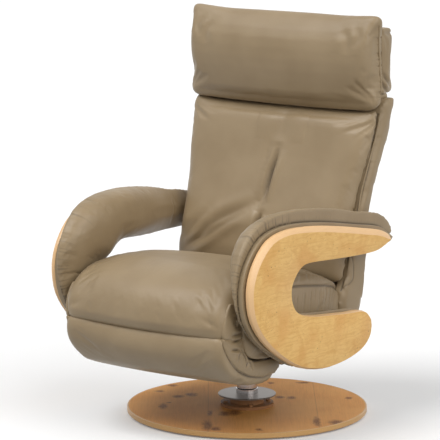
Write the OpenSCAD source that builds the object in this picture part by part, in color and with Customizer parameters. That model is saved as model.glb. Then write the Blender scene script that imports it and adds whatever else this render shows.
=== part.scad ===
// Swivel recliner with C-shaped veneered arms, adjustable head section and fold-out footrest.
// Millimetres. The origin is the centre of the round base on the floor, the swivel axis is +Z,
// the sitter faces -Y and the sitter's left is +X.

/* [Base] */
// Diameter of the round base board
disc_d = 680; // [560:10:760]
// Thickness of the base board
disc_t = 16; // [12:1:24]
// Width of the lipping glued round the board
lipping_w = 4; // [2:1:8]
// Height of the floor glides
glide_h = 4; // [3:1:8]
// Diameter of a floor glide
glide_d = 30; // [20:1:40]
// Distance from a glide's centre to the board's edge
glide_inset = 35; // [28:1:60]
// Number of floor glides
glide_n = 8; // [5:1:12]
// Diameter of the steel flange on the board
flange_d = 150; // [138:1:180]
// Diameter of the dark boss under the cover plate
boss_d = 96; // [80:1:104]
// Height of the boss's top above the board
boss_h = 29.5; // [22:0.5:40]
// Diameter of the stainless cover plate
plate_d = 164; // [120:1:200]
// Thickness of the cover plate
plate_t = 4.5; // [3:0.5:8]

/* [Column] */
// Diameter of the fixed column tube
column_d = 50; // [40:1:54]
// Wall of the column tube
column_wall = 5; // [3:0.5:7]
// Diameter of the fixed stainless collar
collar_d = 62; // [58:1:76]
// Height of the fixed collar
collar_h = 15; // [8:1:25]
// Height of the thrust washer stack
thrust_h = 2; // [1.5:0.5:5]
// Outer diameter of the turning sleeve
sleeve_d = 58; // [57:1:66]
// Wall of the turning sleeve
sleeve_wall = 2; // [1.5:0.25:3]
// Length of the turning sleeve
sleeve_l = 125; // [115:1:150]
// Running clearance of a shaft in its bush
run_gap = 0.05; // [0.02:0.01:0.1]

/* [Seat] */
// Width of the seat over its leather sides
seat_w = 544; // [520:2:550]
// Thickness of the padded side covers
seat_side_t = 22; // [18:1:24]
// Thickness of the plywood rails
rail_t = 20; // [16:1:21]
// Height of the rails' top edge above the floor
rail_top = 376; // [370:1:384]
// Height of the deep part of the side rails above the floor
rail_low = 204; // [203:1:210]
// Height of the shallow front part of the side rails above the floor
rail_front_low = 262; // [256:1:270]
// Thickness of one layer of webbing
web_t = 2; // [1:0.5:3]
// Width of a webbing strap
strap_w = 60; // [40:5:70]
// Crown of the seat cushion in its middle
seat_crown = 20; // [8:1:30]
// Crown of the seat's front roll
front_crown = 25; // [10:1:32]
// Radius of the cushion's side edges
seat_edge_r = 34; // [20:1:44]
// Side of a square steel cross rail
cross_s = 30; // [26:1:32]
// Wall of a steel cross rail
cross_wall = 2.5; // [2:0.5:4]
// Distance from the swivel axis to the plate rails
plate_rail_y = 95; // [90:1:100]

/* [Recline] */
// Distance of the recline shaft behind the swivel axis
pivot_y = 95; // [92:1:100]
// Height of the recline shaft above the floor
pivot_z = 330; // [326:1:334]
// Diameter of the recline shaft
shaft_d = 22; // [16:1:26]
// Wall of the shaft's bushes
bush_wall = 3; // [2:0.5:4]
// Thickness of the hinge plates
hinge_t = 6; // [4:0.5:6]
// Side gap between plates that turn past each other
plate_gap = 0.4; // [0.2:0.1:0.8]
// Reach of the gas spring's lever below the shaft
lever_r = 55; // [48:1:58]
// Full recline angle of the back
recline_max = 32; // [15:1:34]
// Place of the gas spring across the seat
strut_x = 120; // [90:5:150]
// Diameter of the gas spring's cylinder
cylinder_d = 26; // [18:1:30]
// Diameter of the gas spring's rod
rod_d = 10; // [8:1:12]
// Diameter of the gas spring's end pins
strut_pin_d = 10; // [8:1:12]

/* [Back] */
// Lean of the back from the vertical at rest
back_lean = 17.4; // [15:0.1:20]
// What the back stands out beyond each side of the seat at the recline shaft
back_more = 12; // [8:1:16]
// Outward splay of the back's sides in degrees
back_splay = 2.6; // [1:0.1:3]
// Depth of the back cushion in front of its straps
back_depth = 50; // [38:1:58]
// Depth of the fold down the middle of the back
fold_depth = 7; // [0:1:12]
// Thickness of the rear cover
rear_t = 8; // [5:1:12]
// Depth of the back frame's timbers
timber_d = 40; // [30:1:44]

/* [Head section] */
// Distance of the head hinge behind the swivel axis
head_y = 212; // [210:1:216]
// Height of the head hinge above the floor
head_z = 882; // [880:1:886]
// What the head pad stands out beyond each side of the back's foot
head_more = 28; // [20:1:34]
// Height of the head section above its hinge
head_rise = 247; // [236:1:260]
// Crown of the head pad
head_crown = 28; // [12:1:34]
// Radius of the head pad's ends
head_edge_r = 27; // [20:1:44]
// Thickness of the head board
head_board_t = 20; // [16:1:22]
// Thickness of the padding behind the head board
head_rear_t = 38; // [30:1:44]

/* [Footrest] */
// Distance of the footrest pins in front of the swivel axis
foot_y = 484; // [482:1:486]
// Height of the footrest pins above the floor
foot_z = 343; // [341:1:345]
// Diameter of a footrest pin
foot_pin_d = 9; // [7:1:10]
// Gap between the footrest pad and the arm pads
foot_side_gap = 6; // [4:0.5:12]
// Crown of the footrest pad
foot_crown = 18; // [8:1:24]
// Radius of the footrest pad's side edges
foot_edge_r = 26; // [16:1:34]
// Thickness of the footrest's moulded board
foot_board_t = 10; // [8:1:12]

/* [Arms] */
// Distance from the seat's side to the outer face of an arm panel at its front
arm_side = 76; // [73:1:88]
// Angle that each arm opens towards the rear
arm_toe = 2.5; // [2:0.1:3.5]
// Length of an arm panel
arm_l = 658; // [620:2:680]
// Height of an arm panel
arm_h = 406; // [390:2:430]
// Height of the arm panel's lowest point above the floor
arm_z = 195; // [180:1:210]
// Thickness of the arm panel
panel_t = 19; // [18:1:28]
// Chamfer round the arm panel's outer face
panel_chamfer = 9; // [4:1:14]
// Width of that chamfer along the top
panel_chamfer_w = 17; // [8:1:19]
// Width of that chamfer round the front
panel_chamfer_front = 10; // [4:1:16]
// Width of that chamfer along the bottom
panel_chamfer_low = 4; // [2:1:12]
// Width taken off the panel's inner edge
panel_ease = 3; // [1:1:5]
// Gap between the arm panel and its carrier board
spacer_t = 6; // [2:0.5:6]
// Thickness of the carrier board
board_t = 14; // [8:1:14]
// How far the carrier board stands out round the panel
board_more = 8; // [4:1:10]
// How far the carrier board stays inside the panel's inner edge
board_in = 7; // [3:1:9]
// Thickness of the arm pad beside the seat
pad_low_t = 29; // [24:1:30]
// Thickness of the arm pad at its broad front
pad_front_t = 70; // [50:1:74]
// Thickness of the arm pad beside the back
pad_rear_t = 20; // [14:1:22]
// Rise of the arm pad above the panel
pad_rise = 46; // [30:1:54]

/* [Hidden] */

fine = 96;
seat_gap = 0.3;

disc_r = disc_d / 2;
disc_z = glide_h;
disc_top = disc_z + disc_t;
core_r = disc_r - lipping_w;
edge_round = 3;
column_r = column_d / 2;
counter_r = flange_d / 2 - 3;
counter_t = 4;
flange_t = 8;
bolt_r = 4;
head_r = 6.5;
head_h = 5;
base_bolt_circle = (flange_d + boss_d) / 4;
loose_r = column_r + 0.3;
boss_top = disc_top + boss_h;
plate_top = boss_top + plate_t;
collar_top = plate_top + collar_h;
thrust_top = collar_top + thrust_h;
sleeve_z = thrust_top + 0.15;
sleeve_top = sleeve_z + sleeve_l;
bush_l = 30;
swivel_plate_t = 8;
swivel_plate_x = 160;
swivel_top = sleeve_top + swivel_plate_t;
column_top = swivel_top + 0.3;
retainer_r = column_r + 8;
retainer_t = 3;
plug_l = 24;

seat_half = seat_w / 2;
back_half = seat_half + back_more;
head_w = 2 * (back_half + head_more);
head_top = head_z + head_rise;
arm_w = seat_w + 2 * arm_side;
side_x = seat_half - seat_side_t;
rail_x = side_x - 2 - rail_t;
rail_front = -372;
rail_rear = 22;
seat_rear = 24;
rail_tail = plate_rail_y + cross_s / 2 + 2;
cushion_z = rail_top + 2 * web_t + seat_gap;
cross_z = swivel_top;
front_cross_y = -250;
bracket_x = rail_x - hinge_t;
hinge_x = bracket_x - plate_gap - hinge_t;
shaft_r = shaft_d / 2;
bush_r = shaft_r + bush_wall;
hub_r = bush_r + 8;

timber_x = bracket_x - plate_gap;
timber_w = 34;
timber_y = -58;
cushion_y = timber_y - web_t - seat_gap;
frame_low = 62;
frame_high = 520;

swing = recline_max / 2;
strut_sag = lever_r * (1 - cos(swing)) / 2;
strut_z = pivot_z - lever_r + strut_sag;
strut_pin_r = strut_pin_d / 2;

plate5 = 5;
foot_bracket_x = rail_x - plate5;
foot_arm_x = foot_bracket_x - plate_gap - plate5;
foot_half = seat_half - foot_side_gap;
foot_pin_r = foot_pin_d / 2;
head_plate_x = timber_x - plate5;
head_arm_x = head_plate_x - plate_gap - plate5;
bolt_line = -40;
head_low = 24;
hinge_bolts_z = [140, 200];
head_bolts_z = [432, 447];
tube_r = 12;

arm_front = -464;
arm_ref_y = -300;
board_x = -panel_t - spacer_t - board_t;
arm_bolt_l = arm_w / 2 - rail_x - panel_t - spacer_t;

leather = [0.60, 0.54, 0.43];
leather_dark = [0.42, 0.37, 0.30];
veneer = [0.86, 0.70, 0.43];
ply = [0.82, 0.70, 0.50];
steel = [0.30, 0.31, 0.33];
stainless = [0.78, 0.79, 0.80];
black = [0.10, 0.10, 0.10];
webbing = [0.75, 0.73, 0.68];
bronze = [0.72, 0.55, 0.30];

// Smooth curve through key rows of any length, open or closed
function knot(k, i, closed) = closed ? k[(i + len(k)) % len(k)] : k[max(0, min(len(k) - 1, i))];
function blend4(a, b, c, d, t) = 0.5 * (2 * b + (c - a) * t
    + (2 * a - 5 * b + 4 * c - d) * t * t + (3 * b - a - 3 * c + d) * t * t * t);
function curve(k, steps, closed = false) = [
    for (i = [0 : len(k) - (closed ? 1 : 2)], s = [0 : steps - 1])
        blend4(knot(k, i - 1, closed), knot(k, i, closed), knot(k, i + 1, closed),
            knot(k, i + 2, closed), s / steps),
    if (!closed) k[len(k) - 1]];
function flip(list) = [for (i = [len(list) - 1 : -1 : 0]) list[i]];
function total(v, i = 0) = i == len(v) ? 0 : v[i] + total(v, i + 1);
function mean(list) = [for (j = [0 : 2]) total([for (p = list) p[j]]) / len(list)];
function clamp01(v) = max(0, min(1, v));

// Closed skin over a row of rings, each a closed loop of the same number of points
module skin(rings) {
    m = len(rings);
    n = len(rings[0]);
    first = m * n;
    points = concat([for (r = rings) each r], [mean(rings[0]), mean(rings[m - 1])]);
    walls = [for (i = [0 : m - 2], j = [0 : n - 1])
        let (a = i * n + j, b = i * n + (j + 1) % n) each [[a, b, b + n], [a, b + n, a + n]]];
    caps = [for (j = [0 : n - 1])
        let (a = j, b = (j + 1) % n, c = (m - 1) * n)
            each [[b, a, first], [c + a, c + b, first + 1]]];
    polyhedron(points = points, faces = concat(walls, caps), convexity = 6);
}

// Stations across a pad: close together over the rounded edges
function stations(half, edge) = let (
    side = [half, half - 0.08 * edge, half - 0.3 * edge, half - 0.62 * edge, half - edge,
        0.6 * half, 0.3 * half]) concat(-1 * side, [0], flip(side));
function edge_drop(x, half, edge) = let (t = clamp01((abs(x) - half + edge) / edge))
    edge * (1 - sqrt(1 - t * t * 0.96));

// Pad that runs across the chair: a side section with its own crown, rounded at both ends.
// A key row is [y, z, crown towards y, crown towards z]; the crown is full in the middle.
module cross_pad(section, half, edge, centre, reach) {
    rings = [for (x = stations(half, edge))
        let (c = 1 - pow(x / half, 2), d = edge_drop(x, half, edge))
        [for (p = section) [x,
            centre[0] + (p[0] + c * p[2] - centre[0]) * (1 - d / reach[0]),
            centre[1] + (p[1] + c * p[3] - centre[1]) * (1 - d / reach[1])]]];
    skin(rings);
}

// Flat plate in the plane of the chair's side view, between two places across the chair
module side_plate(x, t) {
    translate([x, 0, 0]) rotate([90, 0, 90]) linear_extrude(t) children();
}
module side_disc(y, z, r) {
    translate([y, z]) circle(r, $fn = fine);
}
module both() {
    children();
    mirror([1, 0, 0]) children();
}
module cross_pin(x, l, r) {
    translate([x, 0, 0]) rotate([0, 90, 0]) cylinder(h = l, r = r, $fn = fine);
}
// Bolt across the chair, its head ending at x and its shank running outwards from there
module cross_bolt(x, l) {
    cross_pin(x - head_h, head_h, head_r);
    cross_pin(x, l, bolt_r);
}

// Base
module floor_glides() {
    color(black) {
        cylinder(h = glide_h, d = glide_d, $fn = 48);
        for (i = [0 : glide_n - 1]) rotate([0, 0, (i + 0.5) * 360 / glide_n])
            translate([disc_r - glide_inset, 0, 0]) cylinder(h = glide_h, d = glide_d, $fn = 48);
    }
}
module base_disc() {
    color(veneer) difference() {
        translate([0, 0, disc_z]) cylinder(h = disc_t, r = core_r, $fn = 180);
        translate([0, 0, disc_z - 1])
            cylinder(h = counter_t + 1.3, r = counter_r + 1, $fn = fine);
        bolt_circle() translate([0, 0, disc_z]) cylinder(h = disc_t + 1, r = bolt_r + 0.5, $fn = 32);
    }
}
module base_lipping() {
    color(veneer) rotate_extrude($fn = 180) polygon([[core_r, disc_z], [disc_r - edge_round, disc_z],
        [disc_r, disc_z + edge_round], [disc_r, disc_top - 1], [disc_r - 1, disc_top],
        [core_r, disc_top]]);
}
module bolt_circle() {
    for (i = [0 : 3]) rotate([0, 0, 45 + 90 * i]) translate([base_bolt_circle, 0, 0]) children();
}
module base_counterplate() {
    color(steel) difference() {
        translate([0, 0, disc_z + 0.3]) cylinder(h = counter_t, r = counter_r, $fn = fine);
        bolt_circle() translate([0, 0, disc_z - 1]) cylinder(h = 9, r = bolt_r, $fn = 32);
    }
}
module base_flange() {
    color(black) difference() {
        union() {
            translate([0, 0, disc_top]) cylinder(h = flange_t, d = flange_d, $fn = fine);
            translate([0, 0, disc_top]) cylinder(h = boss_h, d = boss_d, $fn = fine);
        }
        translate([0, 0, disc_top - 1]) cylinder(h = boss_h + 2, r = column_r, $fn = fine);
        bolt_circle() translate([0, 0, disc_top - 1])
            cylinder(h = flange_t + 2, r = bolt_r + 0.4, $fn = 32);
    }
}
module base_bolts() {
    color(steel) bolt_circle() {
        translate([0, 0, disc_z + 0.6])
            cylinder(h = disc_t + flange_t - 0.6, r = bolt_r, $fn = 32);
        translate([0, 0, disc_top + flange_t]) cylinder(h = head_h, r = head_r, $fn = 32);
    }
}
module ring(z, h, r_out, r_in) {
    translate([0, 0, z]) difference() {
        cylinder(h = h, r = r_out, $fn = fine);
        translate([0, 0, -1]) cylinder(h = h + 2, r = r_in, $fn = fine);
    }
}
module column_tube() {
    color(steel) ring(disc_top, column_top - disc_top, column_r, column_r - column_wall);
}
module cover_plate() {
    r = plate_d / 2;
    color(stainless) rotate_extrude($fn = 180) polygon([[loose_r, boss_top], [r - 1, boss_top],
        [r, boss_top + 1], [r, plate_top - 1.2], [r - 1.2, plate_top], [loose_r, plate_top]]);
}
module column_collar() {
    r = collar_d / 2;
    color(stainless) rotate_extrude($fn = fine) polygon([[loose_r, plate_top], [r, plate_top],
        [r, collar_top - 1], [r - 1, collar_top], [loose_r, collar_top]]);
}
module thrust_washers() {
    color(black) ring(collar_top, thrust_h, sleeve_d / 2 - 1.5, loose_r);
}
module column_retainer() {
    color(steel) {
        translate([0, 0, column_top - plug_l])
            cylinder(h = plug_l, r = column_r - column_wall, $fn = fine);
        translate([0, 0, column_top]) cylinder(h = retainer_t, r = retainer_r, $fn = fine);
        translate([0, 0, column_top + retainer_t])
            cylinder(h = head_h, r = head_r, $fn = 32);
    }
}

// Turning unit under the seat
module swivel_sleeve() {
    color(stainless) ring(sleeve_z, sleeve_l, sleeve_d / 2, sleeve_d / 2 - sleeve_wall);
}
module bearing_bushes() {
    color(bronze) for (z = [sleeve_z + 3, sleeve_top - 3 - bush_l])
        ring(z, bush_l, sleeve_d / 2 - sleeve_wall, column_r + run_gap);
}
module plate_bolts_at() {
    for (x = [-60, 60], y = [-plate_rail_y, plate_rail_y]) translate([x, y, 0]) children();
}
module swivel_plate() {
    color(steel) difference() {
        translate([-swivel_plate_x / 2, -rail_tail, sleeve_top])
            cube([swivel_plate_x, 2 * rail_tail, swivel_plate_t]);
        translate([0, 0, sleeve_top - 1])
            cylinder(h = swivel_plate_t + 2, r = column_r + 1, $fn = fine);
        plate_bolts_at() translate([0, 0, sleeve_top - 1])
            cylinder(h = swivel_plate_t + 2, r = bolt_r + 0.3, $fn = 32);
    }
}
module swivel_bolts() {
    color(steel) plate_bolts_at() {
        translate([0, 0, sleeve_top - head_h]) cylinder(h = head_h, r = head_r, $fn = 32);
        translate([0, 0, sleeve_top]) cylinder(h = swivel_plate_t + cross_s + 8, r = bolt_r, $fn = 32);
        translate([0, 0, cross_z + cross_s]) cylinder(h = 6, r = head_r, $fn = 32);
    }
}
module square_tube(y, z) {
    translate([-rail_x, y - cross_s / 2, z]) difference() {
        cube([2 * rail_x, cross_s, cross_s]);
        translate([-1, cross_wall, cross_wall])
            cube([2 * rail_x + 2, cross_s - 2 * cross_wall, cross_s - 2 * cross_wall]);
    }
}
module seat_cross_rails() {
    ear_y = front_cross_y + cross_s / 2;
    color(steel) {
        difference() {
            union() for (y = [-plate_rail_y, plate_rail_y]) square_tube(y, cross_z);
            plate_bolts_at() translate([0, 0, cross_z - 1])
                cylinder(h = cross_s + 2, r = bolt_r + 0.3, $fn = 32);
        }
        square_tube(front_cross_y, rail_front_low);
        difference() {
            for (x = [-12, 6]) translate([strut_x + x, ear_y, rail_front_low])
                cube([6, 28, cross_s]);
            translate([0, ear_y + 16, strut_z]) cross_pin(strut_x - 15, 30, strut_pin_r);
        }
        translate([0, ear_y + 16, strut_z]) cross_pin(strut_x - 13, 26, strut_pin_r);
    }
}

// Seat frame and cushion
module rail_profile() {
    polygon([[rail_front, rail_front_low], [-205, rail_front_low], [-190, rail_low],
        [rail_tail, rail_low], [rail_tail, rail_low + 46], [rail_rear + 26, rail_low + 58],
        [rail_rear, rail_low + 84], [rail_rear, rail_top], [rail_front, rail_top]]);
}
module seat_rail() {
    color(ply) difference() {
        side_plate(rail_x, rail_t) rail_profile();
        rail_bolts_at() cross_pin(rail_x - 1, rail_t + 2, bolt_r);
        arm_bolts_at() cross_pin(rail_x - 1, rail_t + 2, bolt_r);
    }
}
module seat_rail_right() { mirror([1, 0, 0]) seat_rail(); }
module seat_rail_left() { seat_rail(); }
module cross_board(y, z, half) {
    color(ply) translate([-half, y, z]) cube([2 * half, rail_t, rail_top - z]);
}
module seat_front_rail() { cross_board(rail_front, 292, foot_bracket_x); }
module seat_rear_rail() { cross_board(rail_rear - rail_t, 298, bracket_x); }
module seat_webbing() {
    length = rail_rear - rail_front;
    color(webbing) {
        for (i = [-2 : 2]) translate([i * 2 * rail_x / 5 - strap_w / 2, rail_front, rail_top])
            cube([strap_w, length, web_t]);
        for (i = [0 : 3]) translate([-rail_x - rail_t, rail_front + (i + 0.5) * length / 4
            - strap_w / 2, rail_top + web_t]) cube([2 * (rail_x + rail_t), strap_w, web_t]);
    }
}
seat_section = [
    [10, cushion_z, 0, 0], [22, 384, 0, 0], [24, 396, 0, 2], [14, 411, 0, 8], [-16, 424, 0, 13],
    [-64, 440, 0, 17], [-124, 457, 0, 19], [-205, 469, 0, seat_crown],
    [-300, 474, 0, seat_crown], [-380, 467, -4, seat_crown], [-436, 444, -14, 14],
    [-474, 412, -20, 8], [-490, 384, -front_crown, 0], [-492, 366, -front_crown + 5, 0],
    [-482, 356, -8, 0], [-456, 356, 0, 0], [-434, 366, 0, 0], [-420, cushion_z, 0, 0],
    [-200, cushion_z, 0, 0]];
module seat_cushion() {
    section = [for (p = curve(flip(seat_section), 2, true))
        [min(p[0], seat_rear), p[0] > -428 ? max(p[1], cushion_z) : p[1], p[2], p[3]]];
    color(leather)
        cross_pad(section, seat_half, seat_edge_r, [-235, cushion_z], [262, 92]);
}
module seat_side() {
    color(leather) difference() {
        side_plate(side_x, seat_side_t - 1) seat_side_shape();
        arm_bolts_at() cross_pin(side_x - 1, seat_side_t + 2, tube_r + 0.3);
    }
}
module seat_side_shape() {
    keys = [[-400, 379], [-200, 379], [10, 379], [23, 372], [24, 345], [24, 285],
        [34, 262], [60, 256], [104, 253], [rail_tail + 3, 246], [rail_tail + 3, 212],
        [rail_tail - 6, 205], [60, 203], [-20, 203], [-90, 205], [-180, 216],
        [-204, 240], [-228, 258], [-300, 258], [-372, 268],
        [-396, 290], [-402, 316], [-408, 338], [-410, 360]];
    polygon([for (p = curve(keys, 3, true)) [p[0], min(p[1], cushion_z)]]);
}
module seat_side_right() { mirror([1, 0, 0]) seat_side(); }
module seat_side_left() { seat_side(); }
module underside_cover() {
    color(black) difference() {
        translate([-rail_x - rail_t, -186, rail_low - 2])
            cube([2 * (rail_x + rail_t), rail_tail + 186, 2]);
        translate([-swivel_plate_x / 2 - 4, -rail_tail - 4, rail_low - 4])
            cube([swivel_plate_x + 8, 2 * rail_tail + 8, 8]);
    }
}

// Recline hinge
module recline_bracket() {
    difference() {
        side_plate(bracket_x, hinge_t) difference() {
            union() {
                polygon([[-110, 304], [-110, 366], [10, 366], [pivot_y, pivot_z + hub_r],
                    [pivot_y, pivot_z - hub_r], [10, 304]]);
                side_disc(pivot_y, pivot_z, hub_r);
            }
            side_disc(pivot_y, pivot_z, bush_r);
        }
        rail_bolts_at() cross_pin(bracket_x - 1, hinge_t + 2, bolt_r);
    }
}
module recline_brackets() { color(steel) both() recline_bracket(); }
module recline_bushes() {
    color(bronze) both() side_plate(bracket_x, hinge_t) difference() {
        side_disc(pivot_y, pivot_z, bush_r);
        side_disc(pivot_y, pivot_z, shaft_r + run_gap);
    }
}
module rail_bolts_at() {
    for (p = [[-90, 335], [-10, 335]]) translate([0, p[0], p[1]]) children();
}
module recline_shaft() {
    color(steel) translate([0, pivot_y, pivot_z]) {
        cross_pin(-rail_x - 4, 2 * rail_x + 8, shaft_r);
        both() cross_pin(rail_x + 0.1, 3, shaft_r + 3);
    }
}
module back_place() {
    translate([0, pivot_y, pivot_z]) rotate([-back_lean, 0, 0]) children();
}
module hinge_arms() {
    color(steel) both() back_place() side_plate(hinge_x, hinge_t) difference() {
        hinge_arm_shape();
        side_disc(0, 0, shaft_r);
        for (z = hinge_bolts_z) side_disc(bolt_line, z, bolt_r);
    }
}
module hinge_arm_shape() {
    side_disc(0, 0, hub_r);
    polygon([[-hub_r, 0], [hub_r, 0], [-22, 120], [-22, 230], [timber_y, 230], [timber_y, 110]]);
}
module hinge_bolts() {
    color(stainless) both() back_place() for (z = hinge_bolts_z)
        translate([0, bolt_line, z]) cross_bolt(hinge_x, hinge_t + timber_w);
}
module lever_pin_at() {
    translate([0, pivot_y + lever_r * sin(swing), pivot_z - lever_r * cos(swing)]) children();
}
module recline_lever() {
    color(steel) {
        side_plate(strut_x - 3, 6) difference() {
            union() {
                side_disc(pivot_y, pivot_z, shaft_r + 8);
                translate([pivot_y, pivot_z]) rotate([0, 0, swing]) translate([-9, -lever_r])
                    square([18, lever_r]);
                translate([pivot_y, pivot_z]) rotate([0, 0, swing]) side_disc(0, -lever_r, 9);
            }
            side_disc(pivot_y, pivot_z, shaft_r);
        }
        lever_pin_at() cross_pin(strut_x - 12, 24, strut_pin_r);
    }
}
module gas_spring_cylinder() {
    y0 = front_cross_y + cross_s / 2 + 16;
    color(black) {
        difference() {
            translate([strut_x - 5.8, y0 - 10, strut_z - 10]) cube([11.6, 32, 20]);
            translate([0, y0, strut_z]) cross_pin(strut_x - 8, 16, strut_pin_r + run_gap);
        }
        translate([strut_x, y0 + 22, strut_z]) rotate([-90, 0, 0]) difference() {
            cylinder(h = 190, d = cylinder_d, $fn = 64);
            translate([0, 0, 20]) cylinder(h = 171, d = rod_d + 2 * run_gap, $fn = 64);
        }
    }
}
module gas_spring_rod() {
    y1 = pivot_y + lever_r * sin(swing);
    slack = 0.6;
    color(stainless) {
        translate([strut_x, -70, strut_z]) rotate([-90, 0, 0])
            cylinder(h = y1 - 16 + 70, d = rod_d, $fn = 64);
        difference() {
            translate([strut_x - 12, y1 - 20, strut_z - 12]) cube([24, 32, 24]);
            translate([strut_x - 3.6, y1 - 13, strut_z - 13]) cube([7.2, 40, 26]);
            for (s = [-1, 1]) translate([0, y1, strut_z + s * (strut_sag + 0.2)])
                cross_pin(strut_x - 14, 28, strut_pin_r + slack);
            translate([strut_x - 14, y1 - strut_pin_r - slack, strut_z - strut_sag - 0.2])
                cube([28, 2 * (strut_pin_r + slack), 2 * (strut_sag + 0.2)]);
        }
    }
}

// Back
module back_frame() {
    color(ply) back_place() difference() {
        union() {
            both() side_plate(timber_x, timber_w)
                polygon([[timber_y, frame_low], [-22, frame_low], [timber_y + timber_d, 110],
                    [timber_y + timber_d, frame_high], [timber_y, frame_high]]);
            for (z = [frame_low + 4, 280, frame_high - 60])
                translate([-timber_x, timber_y, z]) cube([2 * timber_x, 20, 56]);
        }
        both() for (z = concat(hinge_bolts_z, head_bolts_z)) translate([0, bolt_line, z])
            cross_pin(timber_x - 1, timber_w + 2, bolt_r);
        both() {
            side_plate(hinge_x, hinge_t) hinge_arm_shape();
            side_plate(head_plate_x, plate5) head_plate_shape();
        }
    }
}
module back_webbing() {
    n = 6;
    step = (frame_high - frame_low) / n;
    color(webbing) back_place() for (i = [0 : n - 1])
        translate([-timber_x - timber_w, timber_y - web_t, frame_low + (i + 0.5) * step - 25])
            cube([2 * (timber_x + timber_w), web_t, 50]);
}
// Rows of the back cushion from its foot up: [height, depth, half width less than the sides]
back_rows = [[84, 16, 26], [88, 30, 12], [100, 42, 4], [124, 50, 0], [170, 55, 0], [230, 53, 0],
    [300, 49, 0], [370, 46, 0], [430, 45, 0], [466, 42, 0], [486, 36, 2], [500, 27, 5],
    [511, 16, 10], [517, 7, 20]];
function fold_at(x, z) = fold_depth * exp(-pow(x / 16, 2))
    * clamp01((z - 150) / 60) * clamp01((450 - z) / 60);
module back_cushion() {
    fractions = [0, 0.03, 0.07, 0.14, 0.3, 0.5, 0.7, 0.86, 0.95, 0.99];
    front = concat(-1 * flip([for (f = fractions) if (f > 0) f]), fractions);
    rings = [for (r = back_rows) let (h = back_half + r[0] * tan(back_splay) - 1 - r[2],
        d = r[1] * back_depth / 50)
        flip(concat([for (f = front) [f * h, cushion_y - 3
            - (d - 3) * pow(1 - pow(abs(f), 3.4), 0.45) + fold_at(f * h, r[0]), r[0]]],
            [for (f = [1, 0.9, 0.5, 0, -0.5, -0.9, -1]) [f * h, cushion_y, r[0]]]))];
    color(leather) back_place() skin(rings);
}
// The side view of the back's padded side, from its foot up the front and down the rear
side_outline = [[-66, -18], [-72, 16], [-72, 48], [-64, 66], [-59, 80], [-60, 250], [-60, 390],
    [-60, 490], [-60, 520], [-58, 536], [-58, 552], [-50, 570], [-30, 578], [-6, 592], [4, 590],
    [9, 560], [8, 500], [4, 404], [1, 290], [6, 240], [24, 188], [40, 140], [52, 77], [62, 20],
    [58, -20], [38, -46], [6, -58], [-30, -54], [-54, -40]];
module back_side() {
    outline = [for (p = curve(side_outline, 2, true))
        [p[1] > back_rows[0][0] - 10 ? max(p[0], cushion_y + seat_gap) : p[0], p[1]]];
    color(leather) back_place() intersection() {
        side_plate(timber_x + timber_w + 1, 80) polygon(outline);
        translate([back_half, 0, 0]) rotate([0, back_splay, 0]) translate([-150, -200, -200])
            cube([150, 400, 900]);
    }
}
module back_side_right() { mirror([1, 0, 0]) back_side(); }
module back_side_left() { back_side(); }
rear_line = [[9, 584], [9, 560], [8, 500], [4, 404], [1, 290], [6, 240], [24, 188], [40, 140],
    [52, 77], [62, 20], [58, -20]];
module back_rear_cover() {
    outer = curve(rear_line, 3);
    color(leather) back_place() side_plate(-timber_x - timber_w - 0.7,
        2 * (timber_x + timber_w + 0.7))
        polygon(concat(outer, flip([for (p = outer) [p[0] - rear_t, p[1]]])));
}

// Head section
module head_plate_shape() {
    polygon([[timber_y + 2, 420], [timber_y + 30, 420], [timber_y + 24, frame_high],
        [timber_y + 18, 562], [timber_y - 8, 562], [timber_y + 2, frame_high]]);
}
module head_hinge_plates() {
    color(steel) both() {
        side_plate(head_plate_x, plate5) difference() {
            union() {
                side_disc(head_y, head_z, 13);
                translate([pivot_y, pivot_z]) rotate([0, 0, -back_lean]) head_plate_shape();
            }
            translate([pivot_y, pivot_z]) rotate([0, 0, -back_lean])
                for (z = head_bolts_z) side_disc(bolt_line, z, bolt_r);
        }
        translate([0, head_y, head_z])
            cross_pin(head_arm_x - 2.6, 2.6 + plate_gap + plate5 + 0.1, foot_pin_r);
        translate([0, head_y, head_z]) cross_pin(head_arm_x - 3, 2.6, foot_pin_r + 3);
    }
}
module head_bolts() {
    color(stainless) both() back_place() for (z = head_bolts_z)
        translate([0, bolt_line, z]) cross_bolt(head_plate_x, plate5 + timber_w);
}
module head_arm_shape(grow) {
    translate([head_y + 2, head_z + 8]) square([head_board_t + grow, 112 + grow]);
}
module head_hinge_arms() {
    color(steel) both() side_plate(head_arm_x, plate5)
        difference() {
            union() {
                side_disc(head_y, head_z, 13);
                head_arm_shape(0);
            }
            side_disc(head_y, head_z, foot_pin_r + run_gap);
        }
}
module head_board() {
    color(ply) difference() {
        translate([-head_w / 2 + 12, head_y + 2, head_z + head_low])
            cube([head_w - 24, head_board_t, head_rise - head_low - 46]);
        both() side_plate(head_arm_x - 0.2, plate5 + 0.4) head_arm_shape(0.2);
    }
}
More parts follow.
